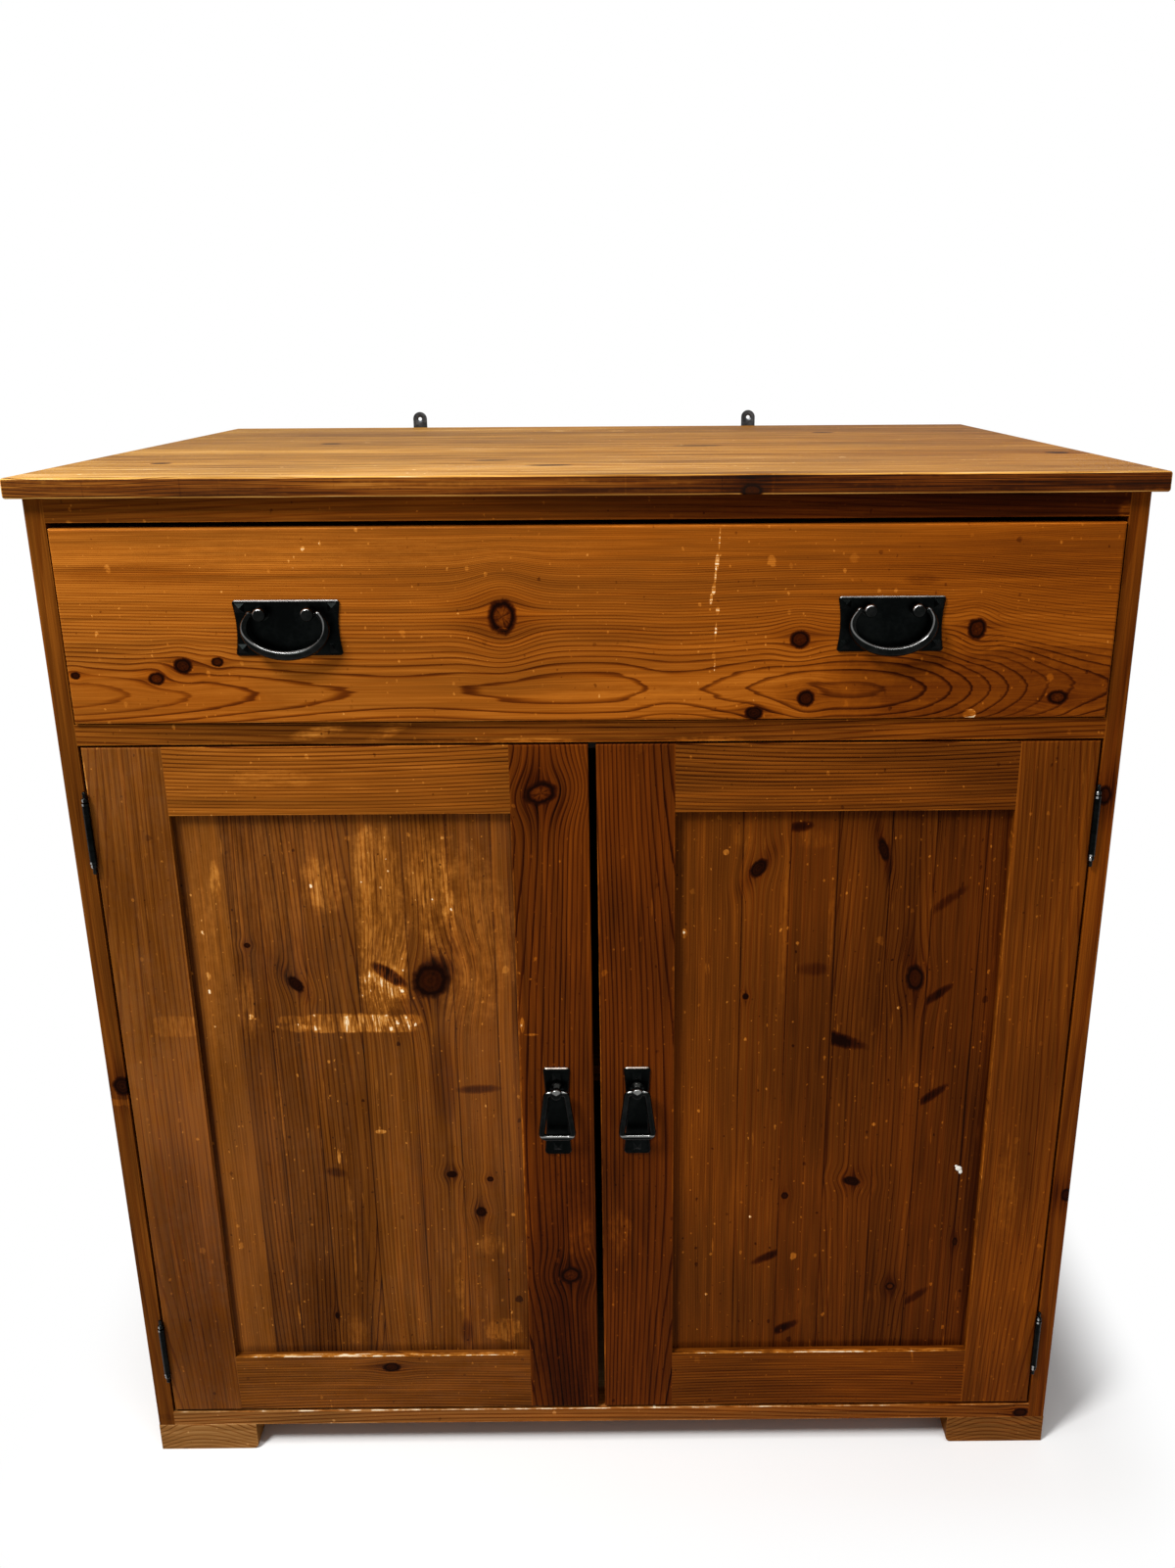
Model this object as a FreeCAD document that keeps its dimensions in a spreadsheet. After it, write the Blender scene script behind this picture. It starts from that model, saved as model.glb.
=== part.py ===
"""Pine jelly cupboard: a case on block feet with one wide drawer above a pair of panelled doors.

The frame has +X to the right, +Y to the back and +Z up, with its origin on the floor under the middle.
Right-hand pieces are mirror images of the left-hand ones. A piece that seats in another also cuts its seat.
"""

import FreeCAD
import Part
import math
import os

import Sketcher
from FreeCAD import Placement, Rotation, Vector

SIZES = {
    # Case
    "carcass_width": 1000,
    "carcass_depth": 738,
    "carcass_height": 1028,
    "side_edge_radius": 1.5,
    "side_thickness": 18,
    "bottom_thickness": 18,
    "top_thickness": 18,
    "top_overhang": 12,
    "top_edge_radius": 2.5,
    "rail_depth": 60,
    "top_rail_height": 22,
    "middle_rail_height": 20,
    "drawer_opening_height": 186,
    "tenon_length": 8,
    "tenon_thickness": 9,
    "tenon_setback": 12,
    "cut_overrun": 2,
    # Back boards
    "back_thickness": 10,
    "back_rebate": 9,
    "tongue_length": 5,
    "tongue_thickness": 3.4,
    "tongue_end_gap": 0.4,
    "back_bevel": 1.6,
    # Feet
    "foot_height": 34,
    "foot_width": 109,
    "foot_depth": 90,
    "foot_corner_radius": 6,
    # Shelf and drawer bearers
    "runner_width": 25,
    "shelf_thickness": 18,
    "shelf_height": 430,
    "shelf_setback": 70,
    "shelf_play": 0.5,
    "cleat_size": 20,
    "cleat_setback": 25,
    # Wall lugs
    "lug_width": 19,
    "lug_thickness": 2,
    "lug_rise": 21,
    "lug_seat": 15,
    "lug_hole_height": 11.5,
    "lug_hole_radius": 2.5,
    "lug_sink_radius": 4.5,
    "lug_sink_depth": 1.2,
    "lug_screw_drop": 8,
    "left_lug_place": -253,
    "right_lug_place": 209,
    # Wood screws
    "screw_head_radius": 2.8,
    "screw_head_depth": 1.8,
    "screw_shank_radius": 1.5,
    "screw_length": 14,
    # Hinges
    "hinge_length": 57,
    "hinge_leaf_thickness": 1.1,
    "hinge_leaf_clearance": 0.3,
    "hinge_leaf_width": 17,
    "hinge_inset": 84,
    "barrel_radius": 3.3,
    "barrel_clearance": 0.35,
    "knuckle_gap": 0.3,
    "hinge_pin_radius": 1.7,
    "hinge_pin_clearance": 0.05,
    "collar_radius": 3.5,
    "collar_height": 2.2,
    "finial_neck_radius": 1.7,
    "finial_neck_height": 3,
    "bead_radius": 3.2,
    "finial_tip_radius": 2,
    # Doors
    "door_thickness": 20,
    "door_edge_radius": 1.5,
    "door_gap_below": 3,
    "door_gap_above": 2.5,
    "door_meeting_gap": 7.5,
    "stile_width": 75,
    "door_top_rail_width": 68,
    "door_bottom_rail_width": 72,
    "panel_thickness": 7,
    "panel_recess": 8,
    "panel_groove_depth": 10,
    "panel_play": 1,
    # Door catch
    "catch_width": 52,
    "catch_depth": 16,
    "catch_height": 13,
    "catch_edge_radius": 1.5,
    "catch_clearance": 0.3,
    "strike_width": 18,
    "strike_height": 16,
    "strike_thickness": 1.2,
    "strike_edge_gap": 3,
    # Drawer
    "drawer_proud": 4,
    "drawer_front_thickness": 20,
    "drawer_gap_below": 1.5,
    "drawer_gap_above": 5,
    "drawer_side_gap": 2,
    "drawer_edge_radius": 2.5,
    "drawer_lap": 6,
    "drawer_slide_clearance": 0.3,
    "drawer_end_clearance": 0.5,
    "drawer_side_thickness": 14,
    "drawer_side_height": 150,
    "drawer_back_inset": 20,
    "drawer_back_drop": 12,
    "drawer_housing": 5,
    "drawer_bottom_thickness": 6,
    "drawer_bottom_height": 12,
    "drawer_groove_depth": 6,
    "tail_tip_width": 34,
    "tail_root_width": 25,
    # Drawer pulls
    "pull_place": 274,
    "pull_plate_width": 97,
    "pull_plate_height": 51,
    "plate_thickness": 2.5,
    "plate_bevel": 1.2,
    "pull_corner_radius": 3,
    "pull_side_hollow": 2.2,
    "pull_post_spacing": 43,
    "pull_post_rise": 14.5,
    "pull_stud_inset": 6.8,
    "bail_half_width": 36.8,
    "bail_drop": 37.7,
    "bail_end_radius": 2.6,
    "bail_knob_radius": 3.1,
    "bail_belly_radius": 4.5,
    "bail_pin_radius": 1.7,
    "bail_pin_clearance": 0.06,
    "bail_post_gap": 0.3,
    # Posts and studs
    "post_reach": 10,
    "post_ball_radius": 6,
    "post_face_rise": 5.2,
    "post_rim_radius": 2.6,
    "post_ring_radius": 7,
    "post_ring_height": 1.8,
    "post_neck_radius": 4,
    "post_shank_radius": 2.5,
    "post_hole_clearance": 0.15,
    "post_nut_radius": 6,
    "post_nut_height": 4,
    "post_shank_end": 1.5,
    "stud_width": 8.5,
    "stud_height": 2.6,
    "stud_tip_width": 0.6,
    "stud_shank_radius": 1.2,
    "stud_shank_length": 14,
    # Door drops
    "drop_plate_width": 27.5,
    "drop_plate_height": 102,
    "drop_corner_radius": 4,
    "drop_side_hollow": 2.4,
    "drop_plate_height_above_door": 382,
    "drop_post_rise": 28,
    "drop_stud_inset": 10,
    "drop_top_half_width": 10,
    "drop_bottom_half_width": 16.8,
    "drop_length": 52,
    "drop_bar_radius": 3.2,
    "drop_bar_clearance": 0.08,
    "drop_top_bend_radius": 4.5,
    "drop_bottom_bend_radius": 5.5,
}

BACK_BOARD_COUNT = 7
TAIL_COUNT = 3
KNUCKLE_COUNT = 5
BAIL_STATIONS = 13
HINGE_SCREW_SHARES = (0.18, 0.5, 0.82)
HINGE_SCREW_DEPTH_SHARE = 0.55
SCREW_POINT_SHARE = 0.25

doc = FreeCAD.newDocument("JellyCupboard")
sheet = doc.addObject("Spreadsheet::Sheet", "Sizes")
nodes = []


class Size:
    """A length that carries its present value and the sheet expression that gives it."""

    def __init__(self, text, value):
        self.text = text
        self.value = value

    def __add__(self, other):
        other = as_size(other)
        return Size(f"({self.text} + {other.text})", self.value + other.value)

    def __sub__(self, other):
        other = as_size(other)
        return Size(f"({self.text} - {other.text})", self.value - other.value)

    def __mul__(self, other):
        other = as_size(other)
        return Size(f"({self.text} * {other.text})", self.value * other.value)

    def __truediv__(self, other):
        other = as_size(other)
        return Size(f"({self.text} / {other.text})", self.value / other.value)

    def __neg__(self):
        return Size(f"(0 - {self.text})", -self.value)

    def root(self):
        """Return the square root."""
        return Size(f"sqrt({self.text})", math.sqrt(self.value))


def as_size(item):
    """Return a plain number as a Size, and a Size as it is."""
    if isinstance(item, Size):
        return item
    return Size(str(item), item)


def fill_sheet():
    """Write each driving dimension to the sheet and return it as a Size under its name."""
    named = {}
    for row, (alias, value) in enumerate(SIZES.items(), 1):
        sheet.set(f"A{row}", alias)
        sheet.set(f"B{row}", str(value))
        sheet.setAlias(f"B{row}", alias)
        named[alias] = Size(f"Sizes.{alias}", value)
    doc.recompute()
    return named


class Named:
    """The driving dimensions as attributes."""

    def __init__(self, named):
        self.__dict__.update(named)


d = Named(fill_sheet())


def bind(piece, **sizes):
    """Bind properties of a document object to sizes."""
    for name, size in sizes.items():
        piece.setExpression(name, as_size(size).text)


def put(piece, x, y, z, turn=None):
    """Place a document object, turned by a Rotation first if one is given."""
    if turn is not None:
        piece.Placement = Placement(Vector(), turn)
    for axis, size in zip("xyz", (x, y, z)):
        piece.setExpression(f"Placement.Base.{axis}", as_size(size).text)


def node(piece, label):
    """Mark a document object as a piece of the cupboard under its own name."""
    piece.Label = label
    nodes.append(piece)
    return piece


def box(name, x, y, z, width, depth, height):
    """Return a rectangular solid from its least corner and its three sizes."""
    piece = doc.addObject("Part::Box", name)
    bind(piece, Length=width, Width=depth, Height=height)
    put(piece, x, y, z)
    return piece


def rod(name, x, y, z, radius, length, turn=None):
    """Return a cylinder that starts at a point and runs along +Z, or along the turned +Z."""
    piece = doc.addObject("Part::Cylinder", name)
    bind(piece, Radius=radius, Height=length)
    put(piece, x, y, z, turn)
    return piece


def join(name, pieces):
    """Return several solids fused into one."""
    piece = doc.addObject("Part::MultiFuse", name)
    piece.Shapes = list(pieces)
    piece.Refine = True
    return piece


def group(name, pieces):
    """Return several separate solids as one object."""
    piece = doc.addObject("Part::Compound", name)
    piece.Links = list(pieces)
    return piece


def cut(name, base, tools):
    """Return a solid with the seats of other solids cut out of it."""
    tools = list(tools)
    piece = doc.addObject("Part::Cut", name)
    piece.Base = base
    piece.Tool = tools[0] if len(tools) == 1 else join(f"{name}_seats", tools)
    return piece


def mirror(name, source):
    """Return the right-hand image of a left-hand piece."""
    piece = doc.addObject("Part::Mirroring", name)
    piece.Source = source
    piece.Base = Vector()
    piece.Normal = Vector(1, 0, 0)
    return piece


def pair(name, piece):
    """Name a left-hand piece and its right-hand image, with left or right in place of SIDE."""
    left = node(piece, name.replace("SIDE", "left"))
    right = node(mirror(f"mirrored_{left.Name}", left), name.replace("SIDE", "right"))
    return left, right


def add_sketch(body, name, role, outline, closed=True):
    """Return a sketch of lines and arcs on an origin plane of its body.

    Each corner is (across, up), or (across, up, radius) where an arc starts. A positive radius bulges
    to the right of the way round, which is outward on a counterclockwise outline.
    """
    sketch = body.newObject("Sketcher::SketchObject", name)
    plane = next(item for item in body.Origin.OriginFeatures if item.Role == role)
    sketch.AttachmentSupport = (plane, [""])
    sketch.MapMode = "FlatFace"
    corners = [tuple(as_size(item) for item in corner) for corner in outline]
    ends = [Vector(corner[0].value, corner[1].value, 0) for corner in corners]
    count = len(corners) if closed else len(corners) - 1
    starts = []
    for index, corner in enumerate(corners[:count]):
        start = ends[index]
        end = ends[(index + 1) % len(ends)]
        if len(corner) == 2:
            sketch.addGeometry(Part.LineSegment(start, end), False)
        else:
            sketch.addGeometry(arc_between(start, end, corner[2].value), False)
        clockwise = len(corner) == 3 and corner[2].value < 0
        starts.append(2 if clockwise else 1)
    for index, corner in enumerate(corners):
        piece = min(index, count - 1)
        start_end = starts[piece] if index < count else 3 - starts[piece]
        for kind, size in zip(("DistanceX", "DistanceY"), corner):
            rule = Sketcher.Constraint(kind, -1, 1, piece, start_end, size.value)
            sketch.setExpression(f"Constraints[{sketch.addConstraint(rule)}]", size.text)
        if len(corner) == 3:
            rule = Sketcher.Constraint("Radius", index, abs(corner[2].value))
            sign = "-" if corner[2].value < 0 else ""
            sketch.setExpression(f"Constraints[{sketch.addConstraint(rule)}]", f"{sign}{corner[2].text}")
    for index in range(count if closed else count - 1):
        following = (index + 1) % count
        rule = Sketcher.Constraint("Coincident", index, 3 - starts[index], following, starts[following])
        sketch.addConstraint(rule)
    return sketch


def arc_between(start, end, radius):
    """Return the shorter arc between two points, bulging to the right for a positive radius."""
    chord = end - start
    right = Vector(chord.y, -chord.x, 0).normalize()
    rest = math.sqrt(max(radius * radius - chord.Length * chord.Length / 4, 0))
    centre = (start + end) / 2 - right * math.copysign(rest, radius)
    first, last = (start, end) if radius > 0 else (end, start)
    begin = math.atan2(first.y - centre.y, first.x - centre.x)
    finish = math.atan2(last.y - centre.y, last.x - centre.x)
    if finish <= begin:
        finish += 2 * math.pi
    return Part.ArcOfCircle(Part.Circle(centre, Vector(0, 0, 1), abs(radius)), begin, finish)


def pad(name, role, outline, length):
    """Return a body padded from an outline along +X, +Y or +Z of its own frame."""
    body = doc.addObject("PartDesign::Body", name)
    feature_sketch = add_sketch(body, f"{name}_outline", role, outline)
    feature = body.newObject("PartDesign::Pad", f"{name}_pad")
    feature.Profile = feature_sketch
    feature.Reversed = role == "XZ_Plane"
    bind(feature, Length=length)
    return body


def turned(name, profile):
    """Return a body turned about its own Z axis from a profile of (radius, height) corners."""
    body = doc.addObject("PartDesign::Body", name)
    feature_sketch = add_sketch(body, f"{name}_profile", "XZ_Plane", profile)
    feature = body.newObject("PartDesign::Revolution", f"{name}_turning")
    feature.Profile = feature_sketch
    feature.ReferenceAxis = (feature_sketch, ["V_Axis"])
    feature.Angle = 360
    return body


def ease(body, radius, chosen):
    """Round the edges of a body whose middle point passes a test."""
    doc.recompute()
    names = []
    for number, edge in enumerate(body.Tip.Shape.Edges, 1):
        if chosen(edge.valueAt((edge.FirstParameter + edge.LastParameter) / 2)):
            names.append(f"Edge{number}")
    base = body.Tip
    feature = body.newObject("PartDesign::Fillet", f"{body.Name}_easing")
    feature.Base = (base, names)
    bind(feature, Radius=radius)
    return body


def rectangle(width, height):
    """Return the outline of a rectangle with its least corner at the sketch's origin."""
    return [(0, 0), (width, 0), (width, height), (0, height)]


def eased_board(name, corner, sizes, radius, chosen):
    """Return a board from its least corner and its three sizes, with the chosen front edges rounded."""
    width, depth, height = sizes
    board = pad(name, "XZ_Plane", rectangle(width, height), depth)
    put(board, *corner)
    return ease(board, radius, lambda middle: middle.y < radius.value and chosen(middle))


# Levels and faces that several pieces share
half_width = d.carcass_width / 2
inner = half_width - d.side_thickness
front_reach = d.drawer_proud + d.plate_thickness + d.post_reach + d.post_ball_radius
front = (front_reach - d.carcass_depth - d.lug_thickness) / 2
back = front + d.carcass_depth
back_inside = back - d.back_thickness
case_bottom = d.foot_height
under_top = case_bottom + d.carcass_height
floor_level = case_bottom + d.bottom_thickness
drawer_ceiling = under_top - d.top_rail_height
runner_level = drawer_ceiling - d.drawer_opening_height
door_ceiling = runner_level - d.middle_rail_height
hinge_gap = d.hinge_leaf_thickness * 2 + d.hinge_leaf_clearance
door_outer = inner - hinge_gap
door_inner = d.door_meeting_gap / 2
door_bottom = floor_level + d.door_gap_below
door_top = door_ceiling - d.door_gap_above
door_height = door_top - door_bottom
door_back = front + d.door_thickness
hinge_axis_x = -(inner - hinge_gap / 2)
hinge_reach = d.barrel_radius + d.barrel_clearance
hinge_axis_y = front - hinge_reach
hinge_centres = (door_bottom + d.hinge_inset, door_top - d.hinge_inset)

TO_FRONT = Rotation(Vector(1, 0, 0), 90)
TO_BACK = Rotation(Vector(1, 0, 0), -90)
TO_LEFT = Rotation(Vector(0, 1, 0), -90)
TO_RIGHT = Rotation(Vector(0, 1, 0), 90)
ABOUT_FACE = Rotation(Vector(0, 0, 1), 180)


def wood_screw(name, x, y, z, turn):
    """Return a countersunk screw whose head's face is at a point and whose shank runs along the turned +Z."""
    point = d.screw_length * SCREW_POINT_SHARE
    profile = [
        (0, 0),
        (0, d.screw_length),
        (d.screw_shank_radius, d.screw_length - point),
        (d.screw_shank_radius, d.screw_head_depth),
        (d.screw_head_radius, 0),
    ]
    screw = turned(name, profile)
    put(screw, x, y, z, turn)
    return screw


def top_board():
    """The glued top, flush at the back, with its front and end edges rounded."""
    width = d.carcass_width + d.top_overhang * 2
    depth = d.carcass_depth + d.top_overhang
    board = pad("top_board_body", "XY_Plane", rectangle(width, depth), d.top_thickness)
    put(board, -(half_width + d.top_overhang), front - d.top_overhang, under_top)
    ease(board, d.top_edge_radius, lambda middle: middle.y < depth.value - d.top_edge_radius.value)
    return board


def between_sides(name, start, bottom, depth, height, tenon_start, tenon_end):
    """Return a board between the sides and the long tongue that is let into them at both ends."""
    board = box(f"{name}_board", -inner, start, bottom, inner * 2, depth, height)
    reach = inner + d.tenon_length
    tongue_bottom = bottom + (height - d.tenon_thickness) / 2
    tongue = box(f"{name}_tongue", -reach, tenon_start, tongue_bottom, reach * 2,
                 tenon_end - tenon_start, d.tenon_thickness)
    return node(join(f"{name}_tenoned", [board, tongue]), name), tongue


def rail(name, start, bottom, height):
    """Return a flat rail between the sides, and its tongue."""
    return between_sides(name, start, bottom, d.rail_depth, height, start + d.tenon_setback,
                         start + d.rail_depth - d.tenon_setback)


def back_boards():
    """Tongued and grooved boards that fill the rebates, bevelled where they meet."""
    pitch = (inner + d.back_rebate) * 2 / BACK_BOARD_COUNT
    lower = (d.back_thickness - d.tongue_thickness) / 2
    upper = lower + d.tongue_thickness
    boards = []
    for index in range(BACK_BOARD_COUNT):
        right_edge = [(pitch, 0), (pitch, d.back_thickness)]
        left_edge = [(0, d.back_thickness), (0, 0)]
        if index < BACK_BOARD_COUNT - 1:
            right_edge = [
                (pitch, 0),
                (pitch, lower),
                (pitch + d.tongue_length, lower),
                (pitch + d.tongue_length, upper),
                (pitch, upper),
                (pitch, d.back_thickness - d.back_bevel),
                (pitch - d.back_bevel, d.back_thickness),
            ]
        if index > 0:
            groove = d.tongue_length + d.tongue_end_gap
            left_edge = [
                (d.back_bevel, d.back_thickness),
                (0, d.back_thickness - d.back_bevel),
                (0, upper),
                (groove, upper),
                (groove, lower),
                (0, lower),
                (0, 0),
            ]
        board = pad(f"back_board_{index}", "XY_Plane", right_edge + left_edge, d.carcass_height)
        put(board, pitch * index - (inner + d.back_rebate), back_inside, case_bottom)
        boards.append(board)
    return group("back_board_set", boards)


def foot(name, start):
    """A block foot with its inner lower corner rounded."""
    radius = d.foot_corner_radius
    outline = [
        (0, 0),
        (d.foot_width - radius, 0, radius),
        (d.foot_width, radius),
        (d.foot_width, d.foot_height),
        (0, d.foot_height),
    ]
    block = pad(name, "XZ_Plane", outline, d.foot_depth)
    put(block, -half_width, start, 0)
    return block


def wall_lug(name, place):
    """A round-topped plate on the back edge of the top, with a countersunk hole, and its fixing screw."""
    radius = d.lug_width / 2
    height = d.lug_seat + d.lug_rise
    outline = [
        (-radius, 0),
        (radius, 0),
        (radius, height - radius, radius),
        (0, height, radius),
        (-radius, height - radius),
    ]
    plate = pad(f"{name}_plate", "XZ_Plane", outline, d.lug_thickness)
    top_face = under_top + d.top_thickness
    put(plate, place, back, top_face - d.lug_seat)
    level = top_face + d.lug_hole_height
    hole = rod(f"{name}_hole", place, back - d.cut_overrun, level, d.lug_hole_radius,
               d.lug_thickness + d.cut_overrun * 2, TO_BACK)
    sink = doc.addObject("Part::Cone", f"{name}_sink")
    bind(sink, Radius1=d.lug_sink_radius, Radius2=d.lug_hole_radius, Height=d.lug_sink_depth)
    put(sink, place, back, level, TO_BACK)
    screw = wood_screw(f"{name}_screw", place, back + d.lug_thickness, top_face - d.lug_screw_drop, TO_FRONT)
    return cut(f"{name}_drilled", plate, [hole, sink, screw]), screw


def hinge_leaf(name, base, plate_x, kept):
    """One leaf of a hinge with the knuckles of the kept parity, bored for the pin."""
    pitch = d.hinge_length / KNUCKLE_COUNT
    barrel = rod(f"{name}_barrel", hinge_axis_x, hinge_axis_y, base, d.barrel_radius, d.hinge_length)
    plate = box(f"{name}_plate", plate_x, hinge_axis_y, base, d.hinge_leaf_thickness,
                hinge_reach + d.hinge_leaf_width, d.hinge_length)
    bore = rod(f"{name}_bore", hinge_axis_x, hinge_axis_y, base - d.cut_overrun,
               d.hinge_pin_radius + d.hinge_pin_clearance, d.hinge_length + d.cut_overrun * 2)
    tools = [bore]
    reach = d.barrel_radius + d.cut_overrun
    for index in range(KNUCKLE_COUNT):
        if index % 2 == kept:
            continue
        below = d.cut_overrun if index == 0 else d.knuckle_gap / 2
        above = d.cut_overrun if index == KNUCKLE_COUNT - 1 else d.knuckle_gap / 2
        tools.append(box(f"{name}_gap_{index}", hinge_axis_x - reach, hinge_axis_y - reach,
                         base + pitch * index - below, reach * 2, reach + hinge_reach, pitch + below + above))
    return join(f"{name}_blank", [barrel, plate]), tools


def hinge(name, centre):
    """Return the frame leaf, the door leaf, the pin and both leaves' screws of one left-hand hinge."""
    base = centre - d.hinge_length / 2
    seat = front + d.hinge_leaf_width * HINGE_SCREW_DEPTH_SHARE
    frame_face = d.hinge_leaf_thickness - inner
    door_face = -door_outer - d.hinge_leaf_thickness
    frame_blank, frame_tools = hinge_leaf(f"{name}_frame_leaf", base, -inner, 0)
    door_blank, door_tools = hinge_leaf(f"{name}_door_leaf", base, door_face, 1)
    frame_screws = []
    door_screws = []
    for index, share in enumerate(HINGE_SCREW_SHARES):
        level = base + d.hinge_length * share
        frame_screws.append(wood_screw(f"{name}_frame_screw_{index}", frame_face, seat, level, TO_LEFT))
        door_screws.append(wood_screw(f"{name}_door_screw_{index}", door_face, seat, level, TO_RIGHT))
    frame_leaf = cut(f"{name}_frame_leaf_bored", frame_blank, frame_tools + frame_screws)
    door_leaf = cut(f"{name}_door_leaf_bored", door_blank, door_tools + door_screws)
    return frame_leaf, door_leaf, hinge_pin(f"{name}_pin", centre), frame_screws, door_screws


def hinge_pin(name, centre):
    """A pin with the same turned finial at both ends: a collar, a bead, a neck and a small tip."""
    seat = d.hinge_length / 2
    collar = seat + d.collar_height
    neck = d.finial_neck_radius
    bead_rise = (d.bead_radius * d.bead_radius - neck * neck).root()
    tip_rise = (d.finial_tip_radius * d.finial_tip_radius - neck * neck).root()
    equator = collar + bead_rise
    waist = equator + bead_rise
    shoulder = waist + d.finial_neck_height
    tip = shoulder + tip_rise
    top = tip + d.finial_tip_radius
    profile = [
        (0, -top, d.finial_tip_radius),
        (d.finial_tip_radius, -tip, d.finial_tip_radius),
        (neck, -shoulder),
        (neck, -waist, d.bead_radius),
        (d.bead_radius, -equator, d.bead_radius),
        (neck, -collar),
        (d.collar_radius, -collar),
        (d.collar_radius, -seat),
        (d.hinge_pin_radius, -seat),
        (d.hinge_pin_radius, seat),
        (d.collar_radius, seat),
        (d.collar_radius, collar),
        (neck, collar, d.bead_radius),
        (d.bead_radius, equator, d.bead_radius),
        (neck, waist),
        (neck, shoulder, d.finial_tip_radius),
        (d.finial_tip_radius, tip, d.finial_tip_radius),
        (0, top),
    ]
    pin = turned(name, profile)
    put(pin, hinge_axis_x, hinge_axis_y, centre)
    return pin


def post(name, x, face, z, hole_radius, wood):
    """Return a round post with a flat face and a cross hole, its bore through plate and wood, and its nut."""
    rise = (d.post_ball_radius * d.post_ball_radius - d.post_neck_radius * d.post_neck_radius).root()
    post_face = d.post_reach + d.post_face_rise
    shank = d.plate_thickness + wood + d.post_nut_height + d.post_shank_end
    profile = [
        (0, -shank),
        (d.post_shank_radius, -shank),
        (d.post_shank_radius, 0),
        (d.post_ring_radius, 0),
        (d.post_ring_radius, d.post_ring_height),
        (d.post_neck_radius, d.post_ring_height),
        (d.post_neck_radius, d.post_reach - rise, d.post_ball_radius),
        (d.post_ball_radius, d.post_reach),
        (d.post_ball_radius, post_face - d.post_rim_radius, d.post_rim_radius),
        (d.post_ball_radius - d.post_rim_radius, post_face),
        (0, post_face),
    ]
    stem = turned(f"{name}_stem", profile)
    put(stem, x, face, z, TO_FRONT)
    bore = rod(f"{name}_bore", x, face - d.cut_overrun, z, d.post_shank_radius + d.post_hole_clearance,
               shank + d.cut_overrun, TO_BACK)
    reach = d.post_ball_radius + d.cut_overrun
    hole = rod(f"{name}_cross_hole", x - reach, face - d.post_reach, z, hole_radius, reach * 2, TO_RIGHT)
    blank = doc.addObject("Part::Prism", f"{name}_nut_blank")
    blank.Polygon = 6
    bind(blank, Circumradius=d.post_nut_radius, Height=d.post_nut_height)
    put(blank, x, face + d.plate_thickness + wood, z, TO_BACK)
    return cut(f"{name}_drilled", stem, [hole]), bore, cut(f"{name}_nut", blank, [bore])


def stud(name, x, face, z):
    """A square nail with a pyramid head that lies on a plate's face."""
    head = doc.addObject("Part::Wedge", f"{name}_head")
    edge = d.stud_width / 2
    tip = d.stud_tip_width / 2
    bind(head, Xmin=-edge, Xmax=edge, Zmin=-edge, Zmax=edge, X2min=-tip, X2max=tip, Z2min=-tip, Z2max=tip,
         Ymin=0, Ymax=d.stud_height)
    put(head, x, face, z, ABOUT_FACE)
    shank = rod(f"{name}_shank", x, face, z, d.stud_shank_radius, d.stud_shank_length, TO_BACK)
    return join(name, [head, shank])


def plate_outline(width, height, corner, hollow):
    """Return an outline about the origin with rounded corners and hollow upright sides."""
    across = width / 2
    up = height / 2
    chord = height - corner * 2
    side = (chord * chord / 4 + hollow * hollow) / (hollow * 2)
    return [
        (corner - across, -up),
        (across - corner, -up, corner),
        (across, corner - up, -side),
        (across, up - corner, corner),
        (across - corner, up),
        (corner - across, up, corner),
        (-across, up - corner, -side),
        (-across, corner - up, corner),
    ]


def backplate(name, x, face, z, width, height, corner, hollow):
    """A plate in front of a face, with rounded corners, hollow upright sides and a bevelled front edge."""
    slab = d.plate_thickness - d.plate_bevel
    outline = plate_outline(width, height, corner, hollow)
    plate = pad(name, "XZ_Plane", outline, slab)
    base = plate.Tip.Profile[0]
    margin = d.plate_bevel * 2
    rim_outline = plate_outline(width - margin, height - margin, corner - d.plate_bevel / 2, hollow)
    rim = add_sketch(plate, f"{name}_rim", "XZ_Plane", rim_outline)
    bind(rim, **{"AttachmentOffset.Base.z": d.plate_bevel})
    bevel = plate.newObject("PartDesign::AdditiveLoft", f"{name}_bevel")
    bevel.Profile = base
    bevel.Sections = [rim]
    bevel.Ruled = True
    put(plate, x, face - slab, z)
    return plate


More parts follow.
